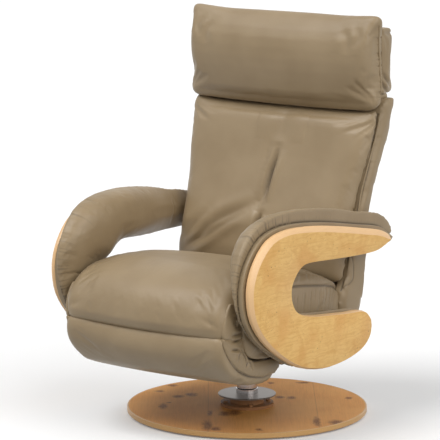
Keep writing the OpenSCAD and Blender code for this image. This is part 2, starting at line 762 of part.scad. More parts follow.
// Rows of the head pad's side view: [behind the hinge, above the hinge], then crown and drop
head_section = [[1.6, 28, 0, 0], [-6, 17, 0, 0], [-16, 8, 0, 0], [-22, -10, 0, 0],
    [-38, -18, -6, -4], [-58, -15, -14, -5], [-70, 8, -24, 0], [-74, 58, -head_crown, 0],
    [-70, 118, -head_crown, 0], [-63, 0.71 * head_rise, -24, 0], [-52, head_rise - 26, -16, 2],
    [-34, head_rise - 5, -6, 4], [-14, head_rise - 4, 0, 4], [1.6, head_rise - 26, 0, 0],
    [1.6, 118, 0, 0]];
module head_pad() {
    section = [for (p = curve(head_section, 2, true))
        [head_y + min(p[0], 1.6), head_z + p[1], p[2], p[3]]];
    color(leather)
        cross_pad(section, head_w / 2, head_edge_r, [head_y, head_z + 114], [74, head_rise - 113]);
}
module head_rear_pad() {
    y0 = head_y + 2 + head_board_t + seat_gap;
    y1 = y0 + head_rear_t;
    low = head_z + head_low;
    top = head_top - 36;
    half = head_w / 2 - 4;
    color(leather) intersection() {
        side_plate(-half, 2 * half) polygon(curve([[y0, low], [y1 - 14, low], [y1 - 2, low + 8],
            [y1, low + 34], [y1, top - 40], [y1 - 3, top - 14], [y1 - 16, top], [y0, top + 2]], 3,
            true));
        translate([0, y1 + 20, 0]) rotate([90, 0, 0]) linear_extrude(200)
            polygon(curve([[-half, low + 54], [-half, low + 12], [-half + 14, low - 1],
                [half - 14, low - 1], [half, low + 12], [half, low + 54], [half, top - 50], [half - 6, top - 14],
                [half - 34, top + 4], [-half + 34, top + 4], [-half + 6, top - 14],
                [-half, top - 50]], 2, true));
        translate([-half, y0, head_z]) cube([2 * half, head_rear_t + 10, head_rise]);
    }
}

// Footrest
module foot_pivot() { translate([0, -foot_y, foot_z]) children(); }
module footrest_brackets() {
    color(steel) both() side_plate(foot_bracket_x, plate5) difference() {
        union() {
            side_disc(-foot_y, foot_z, 9);
            polygon([[-foot_y, foot_z + 9], [-foot_y, foot_z - 8], [-400, foot_z - 8],
                [-360, 300], [-300, 300], [-300, 350], [-440, 353]]);
        }
        side_disc(-foot_y, foot_z, foot_pin_r);
    }
}
module footrest_pins() {
    color(stainless) both() foot_pivot() {
        cross_pin(foot_arm_x - 0.2, 2 * plate5 + plate_gap + 0.2, foot_pin_r);
        cross_pin(foot_arm_x - 3.2, 3, 7.5);
    }
}
foot_inner = [[-452, 331], [-430, 321], [-414, 301], [-399, 273], [-370, 249], [-322, 238],
    [-256, 238]];
foot_arm_back = [[-300, 262], [-350, 270], [-376, 292], [-388, 318], [-408, 342], [-440, 352]];
module footrest_arms() {
    lift = [1, 2];
    color(steel) both() side_plate(foot_arm_x, plate5) difference() {
        union() {
            side_disc(-foot_y, foot_z, 8.5);
            polygon(concat([[-foot_y, foot_z - 8.5]], [for (p = curve(foot_inner, 2))
                if (p[0] < -300) p + lift], foot_arm_back, [[-foot_y, foot_z + 8.5]]));
        }
        side_disc(-foot_y, foot_z, foot_pin_r + run_gap);
    }
}
module footrest_board() {
    face = [for (p = curve(foot_inner, 3)) if (p[0] > -416) p + [0.6, 0.8]];
    color(ply) side_plate(-foot_arm_x + 0.1, 2 * foot_arm_x - 0.2)
        polygon(concat(face, flip([for (p = face) p + foot_board_t * [0.62, 0.78]])));
}
foot_outer = [[-238, 230, 0, 0], [-222, 208, 0, 0], [-232, 184, 0, -2], [-260, 174, 0, -5],
    [-300, 174, 0, -6], [-350, 181, 0, -6], [-400, 196, -2, -6], [-440, 216, -8, -6],
    [-470, 242, -14, -4], [-488, 270, -foot_crown, 0], [-494, 297, -12, 0], [-493, 318, -5, 0],
    [-486, 330, 0, 0], [-470, 333, 0, 0]];
module footrest_pad() {
    keys = concat(foot_outer, [for (p = foot_inner) if (p[0] < -300) [p[0], p[1], 0, 0]],
        [[-262, 238, 0, 0]]);
    color(leather) cross_pad(curve(keys, 2, true), foot_half, foot_edge_r, [-430, 262],
        [150, 150]);
}

// Arms. A key row is [outer y, outer z, inner y, inner z] as fractions of the panel's size,
// from the tip of the upper bar round the front to the end of the lower bar.
arm_rows = [[0.984, 0.778, 0.962, 0.772], [0.966, 0.812, 0.945, 0.754],
    [0.900, 0.856, 0.872, 0.718], [0.789, 0.892, 0.778, 0.713], [0.644, 0.936, 0.644, 0.722],
    [0.492, 0.975, 0.523, 0.734], [0.355, 0.997, 0.424, 0.744], [0.234, 0.997, 0.363, 0.742],
    [0.130, 0.955, 0.322, 0.712], [0.055, 0.850, 0.295, 0.665], [0.012, 0.727, 0.278, 0.623],
    [0.002, 0.598, 0.274, 0.567], [0.026, 0.443, 0.281, 0.510], [0.097, 0.296, 0.307, 0.448],
    [0.204, 0.165, 0.363, 0.406], [0.340, 0.052, 0.454, 0.379], [0.500, 0.000, 0.553, 0.362],
    [0.644, 0.010, 0.660, 0.345], [0.758, 0.054, 0.751, 0.335], [0.819, 0.123, 0.796, 0.313],
    [0.834, 0.197, 0.827, 0.259]];
function arm_row(r) = [arm_front + r[0] * arm_l, arm_z + r[1] * arm_h,
    arm_front + r[2] * arm_l, arm_z + r[3] * arm_h];
arm_keys = [for (r = arm_rows) arm_row(r)];
function across(r) = let (v = [r[0] - r[2], r[1] - r[3]]) v / norm(v);
function wide(r) = norm([r[0] - r[2], r[1] - r[3]]);
// Outline of the bar, drawn in from its outer and its inner edge
function arm_outline(rows, outer, inner) = concat(
    [for (r = rows) [r[0], r[1]] - min(outer, 0.55 * wide(r)) * across(r)],
    flip([for (r = rows) [r[2], r[3]] + min(inner, 0.3 * wide(r)) * across(r)]));
// The panel's chamfer narrows from the top, past the front, to the bottom
function chamfer_w(r) = let (up = across(r)[1]) panel_chamfer_front
    + (up > 0 ? panel_chamfer_w - panel_chamfer_front : panel_chamfer_front - panel_chamfer_low) * up;
// How far behind the arm's front the board starts to draw in, and over what length and height
board_draw = [60, 70, 60];
// Outline of the carrier board, drawn in under the panel where the lower bar runs back
function board_outline(rows) = concat(
    [for (r = rows) [r[0], r[1]] + (board_more - (board_more + panel_ease)
        * clamp01((r[0] - arm_front - board_draw[0]) / board_draw[1])
        * clamp01((arm_z + arm_h / 2 - r[1]) / board_draw[2])) * across(r)],
    flip([for (r = rows) [r[2], r[3]] + min(board_in, 0.3 * wide(r)) * across(r)]));
module arm_place() {
    translate([arm_w / 2, arm_ref_y, 0]) rotate([0, 0, -arm_toe])
        translate([0, -arm_ref_y, 0]) children();
}
// Slab between outlines at several depths, all with the same number of points
module stack(outlines, depths) {
    n = len(outlines[0]);
    m = len(outlines);
    points = [for (i = [0 : m - 1], p = outlines[i]) [depths[i], p[0], p[1]]];
    walls = [for (i = [0 : m - 2], j = [0 : n - 1])
        let (a = i * n + j, b = i * n + (j + 1) % n) each [[a, b + n, b], [a, a + n, b + n]]];
    caps = [for (j = [0 : n / 2 - 2]) let (a = j, b = j + 1, c = n - 2 - j, d = n - 1 - j,
        k = (m - 1) * n) each [[a, b, c], [a, c, d], [a + k, c + k, b + k], [a + k, d + k, c + k]]];
    polyhedron(points = points, faces = concat(walls, caps), convexity = 8);
}
module arm_panel() {
    rows = curve(arm_keys, 3);
    full = arm_outline(rows, 0, 0);
    face = concat([for (r = rows) [r[0], r[1]] - min(chamfer_w(r), 0.55 * wide(r)) * across(r)],
        flip([for (r = rows) [r[2], r[3]] + min(panel_ease, 0.3 * wide(r)) * across(r)]));
    color(veneer) arm_place() stack([full, full, face], [-panel_t, -panel_chamfer, 0]);
}
module arm_panel_right() { mirror([1, 0, 0]) arm_panel(); }
module arm_panel_left() { arm_panel(); }
// The carrier board follows the panel, but runs on past the tip of its upper bar
board_tip = [[1.028, 0.758, 1.014, 0.740], [1.002, 0.785, 0.972, 0.717],
    [0.928, 0.850, 0.890, 0.712]];
board_keys = [for (i = [0 : len(arm_rows) - 1])
    arm_row(i < len(board_tip) ? board_tip[i] : arm_rows[i])];
module arm_board() {
    color(ply) difference() {
        arm_place() side_plate(board_x, board_t)
            polygon(board_outline(curve(board_keys, 3)));
        arm_bolts_at() cross_pin(0, 400, bolt_r);
    }
}
module arm_board_right() { mirror([1, 0, 0]) arm_board(); }
module arm_board_left() { arm_board(); }
// Pad rows follow the board's keys: [beyond the outer edge, beyond the inner edge, thickness]
pad_rows = [[26, 6, 0.55 * pad_rear_t], [44, 6, 0.9 * pad_rear_t], [pad_rise, 3, pad_rear_t],
    [pad_rise, 3, pad_rear_t], [pad_rise + 2, 5, 0.5 * (pad_rear_t + pad_front_t) - 10],
    [pad_rise + 2, 4, 0.8 * pad_front_t], [pad_rise + 2, 4, pad_front_t], [pad_rise, 4, pad_front_t],
    [40, 4, pad_front_t], [34, 4, 0.9 * pad_front_t], [28, 4, 0.6 * pad_front_t],
    [22, 4, pad_low_t], [16, 4, pad_low_t], [8, 4, pad_low_t],
    [4, 4, pad_low_t], [2, 4, pad_low_t], [2, 4, pad_low_t], [2, 4, pad_low_t],
    [2, 3, pad_low_t], [2, 2, 0.8 * pad_low_t], [0, 0, 0.5 * pad_low_t]];
module arm_pad() {
    keys = [for (i = [0 : len(board_keys) - 1]) concat(board_keys[i], pad_rows[i])];
    rows = curve(keys, 2);
    dome = [1, 0.94, 0.8, 0.55, 0.2, -0.2, -0.55, -0.8, -0.94, -1];
    rings = [for (r = rows) let (d = across(r), half = (wide(r) + r[4] + r[5]) / 2,
        mid = [r[0], r[1]] + d * (r[4] - half))
        flip(concat([for (f = dome) let (q = mid + d * half * f)
            [board_x - r[6] * (0.12 + 0.88 * pow(1 - pow(abs(f), 3), 0.5)), q[0], q[1]]],
            [for (f = [-0.96, -0.5, 0, 0.5, 0.96]) let (q = mid + d * half * f)
                [board_x, q[0], q[1]]]))];
    color(leather) difference() {
        arm_place() skin(rings);
        arm_bolts_at() cross_pin(side_x, arm_w / 2 - side_x, tube_r + 0.5);
    }
}
module arm_pad_right() { mirror([1, 0, 0]) arm_pad(); }
module arm_pad_left() { arm_pad(); }
module arm_spacers() {
    color(black) both() arm_place() for (p = [[-380, 430], [-240, 545], [60, 520], [-200, 280],
        [20, 265]]) translate([-panel_t - spacer_t, p[0], p[1]]) rotate([0, 90, 0])
            cylinder(h = spacer_t, r = 15, $fn = 48);
}
module arm_bolts_at() {
    for (p = [[-150, 262], [-60, 262]]) translate([0, p[0], p[1]]) children();
}
module arm_tubes() {
    color(steel) both() difference() {
        arm_bolts_at() cross_pin(rail_x + rail_t, 100, tube_r);
        arm_bolts_at() cross_pin(rail_x, arm_w / 2 - rail_x, bolt_r);
        arm_place() translate([board_x, -500, 0]) cube([arm_w / 2, 1000, 500]);
    }
}
module arm_bolts() {
    color(stainless) both() arm_bolts_at() cross_bolt(rail_x, arm_bolt_l);
}
module frame_bolts() {
    color(stainless) both() {
        rail_bolts_at() cross_bolt(bracket_x, hinge_t + rail_t);
    }
}

floor_glides();
base_disc();
base_lipping();
base_counterplate();
base_flange();
base_bolts();
column_tube();
cover_plate();
column_collar();
thrust_washers();
column_retainer();
swivel_sleeve();
bearing_bushes();
swivel_plate();
swivel_bolts();
seat_cross_rails();
seat_rail_left();
seat_rail_right();
seat_front_rail();
seat_rear_rail();
seat_webbing();
seat_cushion();
seat_side_left();
seat_side_right();
underside_cover();
recline_brackets();
recline_bushes();
frame_bolts();
footrest_brackets();
footrest_pins();
gas_spring_cylinder();
arm_panel_left();
arm_panel_right();
arm_board_left();
arm_board_right();
arm_pad_left();
arm_pad_right();
arm_spacers();
arm_tubes();
arm_bolts();
recline_shaft();
hinge_arms();
hinge_bolts();
recline_lever();
back_frame();
back_webbing();
back_cushion();
back_side_left();
back_side_right();
back_rear_cover();
head_hinge_plates();
head_bolts();
head_hinge_arms();
head_board();
head_pad();
head_rear_pad();
footrest_arms();
footrest_board();
footrest_pad();
gas_spring_rod();
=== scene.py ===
"""Looks of a swivel recliner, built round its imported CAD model. Run as a script in Blender."""
import math

import bpy
import numpy as np
from bpy.props import FloatProperty, FloatVectorProperty, IntProperty, PointerProperty
from bpy.types import Operator, Panel, PropertyGroup
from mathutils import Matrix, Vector
from mathutils.bvhtree import BVHTree


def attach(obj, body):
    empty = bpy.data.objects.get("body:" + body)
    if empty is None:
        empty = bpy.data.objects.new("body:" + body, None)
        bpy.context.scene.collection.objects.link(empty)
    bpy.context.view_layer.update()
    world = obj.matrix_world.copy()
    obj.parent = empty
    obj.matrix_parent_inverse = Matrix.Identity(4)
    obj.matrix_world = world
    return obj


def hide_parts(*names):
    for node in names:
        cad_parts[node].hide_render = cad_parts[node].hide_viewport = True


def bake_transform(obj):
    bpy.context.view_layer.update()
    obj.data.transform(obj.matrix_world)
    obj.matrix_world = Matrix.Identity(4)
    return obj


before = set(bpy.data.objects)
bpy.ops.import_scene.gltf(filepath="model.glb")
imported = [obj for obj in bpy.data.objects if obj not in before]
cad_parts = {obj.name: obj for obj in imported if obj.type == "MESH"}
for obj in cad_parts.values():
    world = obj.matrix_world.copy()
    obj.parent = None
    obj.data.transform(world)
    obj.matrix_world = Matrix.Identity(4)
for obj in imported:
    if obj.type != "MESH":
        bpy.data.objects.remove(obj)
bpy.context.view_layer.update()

bl_info = {
    "name": "Swivel Recliner",
    "version": (1, 0, 0),
    "blender": (4, 5, 0),
    "location": "View3D > Sidebar > Recliner",
    "description": "Builds the covers, veneers, metalwork and stage of a swivel recliner",
    "category": "Object",
}

MM = 0.001
PIPING_RADIUS = 3 * MM
CLOTH_STEPS = 4


def srgb(code):
    """Turns an sRGB hex code into a linear colour."""
    parts = [int(code[i:i + 2], 16) / 255 for i in (0, 2, 4)]
    return tuple(c / 12.92 if c <= 0.04045 else ((c + 0.055) / 1.055) ** 2.4 for c in parts)


def tone(name, description, code):
    """A colour that a user can change."""
    return FloatVectorProperty(name=name, description=description, subtype="COLOR",
                               default=srgb(code))


class ReclinerFinish(PropertyGroup):
    """Colours of the leather and the veneers."""
    hide: tone("Leather", "Leather where it faces the light", "978365")
    hide_low: tone("Leather, darker patches", "Second tone of the leather's patches", "8F7B5D")
    # Painted shade: the dark tone laid on the covers in seams, creases and gathers
    hide_fold_shade: tone("Leather in folds", "Leather deep in seams and folds", "3E3220")
    burr: tone("Arm veneer", "Honey burr veneer of the arms", "E8BC72")
    burr_dark: tone("Arm veneer, figure", "Darker swirls of the arm veneer", "D39C4E")
    lipping: tone("Lipping", "Pale solid edge of the arms", "EBC08C")
    board: tone("Base veneer", "Brown veneer of the base", "E2A25C")
    board_dark: tone("Base veneer, knots", "Knots in the base veneer", "5E3220")
    board_edge: tone("Base lipping", "Edge of the base board", "CFA266")


class ReclinerCover(PropertyGroup):
    """Sizes of the padded covers."""
    voxel: FloatProperty(name="Cover mesh", description="Face size of a cover before subdivision",
                         default=6 * MM, unit="LENGTH")
    swell: FloatProperty(name="Swell", description="Most that the filling moves a cover",
                         default=7 * MM, unit="LENGTH")
    pressure: FloatProperty(name="Filling pressure", default=4.0,
                            description="Pressure of the filling in the cloth simulation")
    seam: FloatProperty(name="Seam width", description="Half width of the groove of a seam",
                        default=3.2 * MM, unit="LENGTH")
    pleat: FloatProperty(name="Pleat pitch", description="Distance between gathers on the arms",
                         default=15 * MM, unit="LENGTH")
    frames: IntProperty(name="Simulated frames", default=16,
                        description="Length of each cloth simulation")


def finish():
    return bpy.context.scene.recliner_finish


def cover():
    return bpy.context.scene.recliner_cover


# Selection and mesh helpers

def deselect():
    if bpy.context.mode != "OBJECT":
        bpy.ops.object.mode_set(mode="OBJECT")
    bpy.ops.object.select_all(action="DESELECT")


def pick(piece):
    deselect()
    piece.select_set(True)
    bpy.context.view_layer.objects.active = piece


def edit_all(piece):
    pick(piece)
    bpy.ops.object.mode_set(mode="EDIT")
    bpy.ops.mesh.select_all(action="SELECT")


def object_mode():
    bpy.ops.object.mode_set(mode="OBJECT")


def apply_modifier(piece, kind, **settings):
    """Adds a modifier, gives it its settings and applies it."""
    pick(piece)
    modifier = piece.modifiers.new(kind.title(), kind)
    for key, value in settings.items():
        setattr(modifier, key, value)
    bpy.ops.object.modifier_apply(modifier=modifier.name)


def subdivide(piece, levels=1):
    apply_modifier(piece, "SUBSURF", levels=levels, render_levels=levels)


def cad_copy(node, name):
    """A merged copy of a CAD node's mesh, as a new object without a material."""
    piece = bpy.data.objects.new(name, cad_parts[node].data.copy())
    bpy.context.scene.collection.objects.link(piece)
    piece.data.materials.clear()
    edit_all(piece)
    bpy.ops.mesh.remove_doubles(threshold=0.02 * MM)
    bpy.ops.mesh.customdata_custom_splitnormals_clear()
    object_mode()
    return piece


def points_of(piece):
    co = np.empty(len(piece.data.vertices) * 3, np.float32)
    piece.data.vertices.foreach_get("co", co)
    return co.reshape(-1, 3).astype(float) / MM


def put_points(piece, co):
    piece.data.vertices.foreach_set("co", (co * MM).astype(np.float32).ravel())
    piece.data.update()


def plate(name, outline, x, thick):
    """A flat plate with an outline in y and z, extruded sideways from a disc."""
    deselect()
    bpy.ops.mesh.primitive_circle_add(vertices=len(outline), fill_type="NGON")
    piece = bpy.context.active_object
    piece.name = name
    put_points(piece, np.array([(x, y, z) for y, z in outline], float))
    edit_all(piece)
    bpy.ops.mesh.extrude_region_move(TRANSFORM_OT_translate={"value": (thick * MM, 0, 0)})
    bpy.ops.mesh.select_all(action="SELECT")
    bpy.ops.mesh.normals_make_consistent(inside=False)
    object_mode()
    return piece


def mirrored(piece):
    """The right hand of a left piece, with its own mesh."""
    twin = bpy.data.objects.new(piece.name.replace("left", "right"), piece.data.copy())
    bpy.context.scene.collection.objects.link(twin)
    put_points(twin, points_of(twin) * [-1, 1, 1])
    edit_all(twin)
    bpy.ops.mesh.flip_normals()
    object_mode()
    return twin


def piping(name, keys, body, skin):
    """A leather cord sewn into a seam of a cover."""
    line = skin.snapped(keys)
    deselect()
    bpy.ops.curve.primitive_nurbs_path_add()
    piece = bpy.context.active_object
    piece.name = name
    curve = piece.data
    curve.splines.clear()
    spline = curve.splines.new("POLY")
    spline.points.add(len(line) - 1)
    for point, at in zip(spline.points, line):
        point.co = (*(at * MM), 1)
    curve.bevel_depth = PIPING_RADIUS
    curve.bevel_resolution = 2
    curve.use_fill_caps = True
    pick(piece)
    bpy.ops.object.convert(target="MESH")
    piece = bpy.context.active_object
    smooth_faces(piece)
    return dress(piece, "leather", body)


def smooth_faces(piece):
    pick(piece)
    bpy.ops.object.shade_smooth()


def dress(piece, slot, body, *nodes):
    """Gives a piece its material and tells the frame what it is."""
    piece.data.materials.clear()
    piece.data.materials.append(MATERIALS[slot])
    if body:
        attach(piece, body)
    if nodes:
        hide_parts(*nodes)
    return piece


def upholster(piece, body, fill, *nodes):
    """Covers a padded piece in leather; its filling, fill, is not used."""
    dress(piece, "leather", body, *nodes)


def upholster_both(piece, body, fill, node=None):
    """Covers a left piece and its twin on the right; node is their CAD name without its side."""
    for made, side in ((piece, "left"), (mirrored(piece), "right")):
        upholster(made, body, fill, *([node + side] if node else []))


def eased(node, name, width, segments, sharp, smooth):
    """A copy of a rigid CAD node with its edges rounded over, where they turn more than sharp."""
    piece = cad_copy(node, name)
    apply_modifier(piece, "BEVEL", width=width * MM, segments=segments, limit_method="ANGLE",
                   angle_limit=math.radians(sharp))
    pick(piece)
    bpy.ops.object.shade_smooth_by_angle(angle=math.radians(smooth))
    return piece


def inflate(piece, held):
    """Blows the cover up by a cloth simulation; held says which points stay on their board."""
    sizes = cover()
    rest = points_of(piece)
    pinned = piece.vertex_groups.new(name="held")
    if held:
        pinned.add([int(i) for i in np.flatnonzero(held(*rest.T))], 1.0, "REPLACE")
    pick(piece)
    cloth = piece.modifiers.new("Cloth", "CLOTH")
    settings = cloth.settings
    settings.quality = CLOTH_STEPS
    settings.use_pressure = True
    settings.uniform_pressure_force = sizes.pressure
    settings.effector_weights.gravity = 0
    settings.vertex_group_mass = pinned.name
    cloth.collision_settings.use_collision = False
    cloth.point_cache.frame_start = 1
    cloth.point_cache.frame_end = sizes.frames
    scene = bpy.context.scene
    for number in range(1, sizes.frames + 1):
        scene.frame_set(number)
    bpy.ops.object.modifier_apply(modifier=cloth.name)
    scene.frame_set(1)
    piece.vertex_groups.clear()
    moved = points_of(piece) - rest
    length = np.linalg.norm(moved, axis=1, keepdims=True)
    cap = sizes.swell / MM
    put_points(piece, rest + moved * np.minimum(1, cap / np.maximum(length, TINY)))


def pad_shell(piece, held=None, voxel=None, relax=6):
    """Turns a closed solid into an even, blown up and finely divided cover."""
    apply_modifier(piece, "REMESH", mode="VOXEL", voxel_size=voxel or cover().voxel)
    apply_modifier(piece, "SMOOTH", factor=0.5, iterations=relax)
    inflate(piece, held)
    subdivide(piece)
    apply_modifier(piece, "SMOOTH", factor=0.5, iterations=2)
    smooth_faces(piece)
    return Cover(piece)


# Lines and relief on covers, all in mm

LINE_STEP = 6.0
TINY = 1e-6
# Rates along a line and shifts with the seed of three waves that never fall in step
RIPPLES = ((0.041, 1.7), (0.097, 3.1), (0.23, 5.3))
# The soft valley round a seam: its width in seam widths, and its share of the depth
VALLEY_W, VALLEY_DEPTH = 4.5, 0.8
# The shoulders beside a fold: distance and width in fold widths, and share of the depth
SHOULDER_AT, SHOULDER_W, SHOULDER_RISE = 2.2, 1.3, 0.5
# How far round a line its points are looked for
REACH = 80


def between(a, b, c, d, t):
    """A point between b and c on the smooth curve through a, b, c and d."""
    return 0.5 * (2 * b + (c - a) * t + (2 * a - 5 * b + 4 * c - d) * t ** 2
                  + (3 * b - a - 3 * c + d) * t ** 3)


def rounded(keys):
    """A smooth line through key points."""
    keys = [np.array(k, float) for k in keys]
    ends = [2 * keys[0] - keys[1]] + keys + [2 * keys[-1] - keys[-2]]
    line = []
    for a, b, c, d in zip(ends, ends[1:], ends[2:], ends[3:]):
        count = max(1, int(np.linalg.norm(c - b) / LINE_STEP))
        line += [between(a, b, c, d, t) for t in np.arange(count) / count]
    return np.array(line + [keys[-1]])


def rounded_loop(keys):
    """A smooth closed outline in y and z, with two points between each two keys."""
    ends = [keys[-1], *keys, keys[0], keys[1]]
    rows = zip(*(np.array(ends[i:i + len(keys)], float) for i in range(4)))
    return [between(*row, t) for row in rows for t in (0, 0.34, 0.67)]


def on_side(side, keys):
    """Keys of the left side, or with side -1 their mirror image."""
    return [(side * x, y, z) for x, y, z in keys]


def ripple(s, seed):
    """Smooth uneven numbers from -1 to 1 along a line."""
    return sum(np.sin(s * rate + seed * shift) for rate, shift in RIPPLES) / len(RIPPLES)


def gate(v, start, end):
    """Smooth step from 0 at start to 1 at end, either way round."""
    t = np.clip((v - start) / (end - start), 0, 1)
    return t * t * (3 - 2 * t)


class Cover:
    """A cover while it is shaped: its points in mm, its normals, and how much painted shade each
    gets in seams, creases and gathers.
    """

    def __init__(self, piece):
        self.piece = piece
        self.at = points_of(piece)
        self.fold = np.zeros(len(self.at))
        self.face()

    def face(self):
        """Reads the normals again after the points have moved."""
        put_points(self.piece, self.at)
        flat = np.empty(len(self.at) * 3, np.float32)
        self.piece.data.vertex_normals.foreach_get("vector", flat)
        self.normal = flat.reshape(-1, 3).astype(float)

    def near(self, line):
        """Distance of each point from a line, how far along it is, and the line's length."""
        best = np.full(len(self.at), 1e9)
        along = np.zeros(len(self.at))
        start = 0.0
        low, high = line.min(0) - REACH, line.max(0) + REACH
        inside = np.flatnonzero(((self.at > low) & (self.at < high)).all(1))
        here = self.at[inside]
        for a, b in zip(line, line[1:]):
            edge = b - a
            length = max(np.linalg.norm(edge), TINY)
            t = np.clip((here - a) @ edge / length ** 2, 0, 1)
            gap = np.linalg.norm(here - a - t[:, None] * edge, axis=1)
            closer = gap < best[inside]
            best[inside[closer]] = gap[closer]
            along[inside[closer]] = start + t[closer] * length
            start += length
        return best, along, start

    def snapped(self, keys):
        """A smooth line through the places of the cover that lie next to the keys."""
        faces = [tuple(face.vertices) for face in self.piece.data.polygons]
        tree = BVHTree.FromPolygons([Vector(at) for at in self.at], faces)
        return rounded([tree.find_nearest(Vector(key))[0] for key in keys])

    def push(self, height):
        self.at += self.normal * height[:, None]

    def seam(self, keys, depth=2.6, width=None, dark=0.75):
        """A sewn seam: a narrow groove with a soft valley round it, and painted shade in the
        groove.
        """
        width = width or cover().seam / MM
        gap, _, _ = self.near(self.snapped(keys))
        dip = np.exp(-(gap / width) ** 2)
        valley = np.exp(-(gap / (VALLEY_W * width)) ** 2)
        self.push(-depth * dip - VALLEY_DEPTH * depth * valley)
        self.fold = np.maximum(self.fold, dark * dip)

    def crease(self, keys, depth, width, dark):
        """A fold that fades at its ends, with soft shoulders beside it and painted shade along it.
        """
        gap, s, length = self.near(self.snapped(keys))
        fade = np.sin(np.pi * np.clip(s / length, 0.02, 0.98)) ** 0.7
        dip = np.exp(-(gap / width) ** 2) * fade
        beside = gap - SHOULDER_AT * width
        shoulder = np.exp(-(beside / (SHOULDER_W * width)) ** 2) * fade
        self.push(depth * (SHOULDER_RISE * shoulder - dip))
        self.fold = np.maximum(self.fold, dark * dip ** 2)

    def creases(self, rows, side=1):
        """Folds from rows of keys, depth, width and darkness of their painted shade, for side -1 in
        mirror image.
        """
        for keys, *look in rows:
            self.crease(on_side(side, keys), *look)

    def side_creases(self, rows):
        """The same on the outer side of a gusset, with keys in y and z."""
        x = self.at[:, 0].max()
        self.creases([([(x, y, z) for y, z in keys], *look) for keys, *look in rows])

    def gathers(self, keys, pitch, height, reach, seed, where=None, dark=0.45, sharp=1.6):
        """Small pleats that run away from a sewn line, at an uneven pitch and reach, with painted
        shade in their valleys.
        """
        gap, s, length = self.near(rounded(keys))
        turn = math.pi * s / pitch + 2.0 * ripple(s * 1.3, seed)
        valley = (1 - np.abs(np.sin(turn))) ** sharp
        far = reach * (1 + 0.6 * ripple(s * 2.1, seed + 2))
        amount = np.exp(-(gap / far) ** 2) * (0.8 + 0.35 * ripple(s * 0.8, seed + 5))
        amount = np.clip(amount, 0, 1) * gate(s, 0, 15) * gate(length - s, 0, 15)
        if where is not None:
            amount = amount * where
        self.push(-height * valley * amount)
        self.fold = np.maximum(self.fold, dark * valley ** 2 * amount)

    def waves(self, size, height, seed):
        """Soft unevenness of the filling: waves of unlike pitch that cross."""
        x, y, z = self.at.T / size
        wave = (np.sin(x * 1.1 + seed) * np.sin(y * 1.3 + 2 * seed)
                + np.sin(z * 1.2 + 0.7 * x + 3 * seed)
                + 0.6 * np.sin(1.9 * y - 1.4 * z + 5 * seed)) / 2.6
        self.push(height * wave)

    def done(self):
        """Writes the points and the painted shade of seams, folds and gathers, which the leather's
        colour reads.
        """
        self.face()
        held = self.piece.data.attributes.new("fold", "FLOAT", "POINT")
        held.data.foreach_set("value", self.fold.astype(np.float32))
        return self.piece


# Materials

def add(tree, kind, inputs=(), **settings):
    """Adds one shader node with its settings, and with values or links on its inputs, by name
    or in their order. Gives its outputs."""
    made = tree.nodes.new("ShaderNode" + kind)
    for key, value in settings.items():
        setattr(made, key, value)
    for key, value in inputs.items() if isinstance(inputs, dict) else enumerate(inputs):
        if isinstance(value, bpy.types.NodeSocket):
            tree.links.new(value, made.inputs[key])
        else:
            made.inputs[key].default_value = value
    return made.outputs


def rgba(colour):
    return (*colour, 1.0)


MIX_A, MIX_B, MIX_OUT = 6, 7, 2


def layered(tree, ground, *layers):
    """Lays colours over a colour or a figure: [pattern, where it starts and is full, amount,
    colour]."""
    if not isinstance(ground, bpy.types.NodeSocket):
        ground = rgba(ground)
    for pattern, start, full, amount, over in layers:
        share = add(tree, "MapRange", (pattern, start, full, 0.0, amount))[0]
        ground = add(tree, "Mix", {0: share, MIX_A: ground, MIX_B: rgba(over)},
                     data_type="RGBA")[MIX_OUT]
    return ground


def new_material(name, roughness, metallic=0.0):
    """A new material, its node tree, its shader and its Object coordinates."""
    material = bpy.data.materials.new(name)
    material.use_nodes = True
    tree = material.node_tree
    shader = tree.nodes["Principled BSDF"]
    shader.inputs["Roughness"].default_value = roughness
    shader.inputs["Metallic"].default_value = metallic
    return material, tree, shader, add(tree, "TexCoord")["Object"]


def painted(tree, shader, colour, *bumps):
    """Gives a shader its colour and its bumps, each over the last: [pattern, depth, strength]."""
    tree.links.new(colour, shader.inputs["Base Color"])
    under = {}
    for height, depth, strength in bumps:
        bump = add(tree, "Bump", {"Height": height, "Distance": depth, "Strength": strength,
                                  **under})
        under = {"Normal": bump["Normal"]}
    tree.links.new(bump["Normal"], shader.inputs["Normal"])


def pigmented_cowhide():
    """Cowhide, pigmented and embossed: even colour, fine pores, a low broad sheen."""
    material, tree, shader, here = new_material("pigmented_cowhide", 0.43)
    shader.inputs["IOR"].default_value = 1.45
    shader.inputs["Sheen Weight"].default_value = 0.06
    shader.inputs["Sheen Roughness"].default_value = 0.5
    patches = add(tree, "TexNoise", {"Vector": here, "Scale": 1 / (110 * MM), "Detail": 2.0})[0]
    # Painted shade in seams, creases and gathers: the covers' fold attribute mixes in the dark tone
    fold = add(tree, "Attribute", attribute_name="fold")["Fac"]
    colour = layered(tree, finish().hide, (patches, 0.35, 0.65, 1.0, finish().hide_low),
                     (fold, 0.0, 1.0, 1.0, finish().hide_fold_shade))
    # Real pores are 0.3 mm apart; they are drawn at 1.6 mm so that they show
    pores = add(tree, "TexVoronoi", {"Vector": here, "Scale": 1 / (1.6 * MM)})["Distance"]
    # Pull lines where the hide is stretched over the filling, about 9 mm long
    drawn = add(tree, "TexNoise", {"Vector": here, "Scale": 1 / (9 * MM), "Detail": 2.0})[0]
    painted(tree, shader, colour, (drawn, 0.8 * MM, 0.25), (pores, 0.15 * MM, 0.35))
    return material


def long_grain(tree, here, along, pitch, length):
    """Streaks of wood grain: pitch is their width and length how far they run."""
    scale = [1 / pitch] * 3
    scale["XYZ".index(along)] = 1 / length
    turned = add(tree, "Mapping", {"Vector": here, "Scale": scale})[0]
    return add(tree, "TexNoise", {"Vector": turned, "Scale": 1.0, "Detail": 3.0,
                                  "Distortion": 0.4})[0]


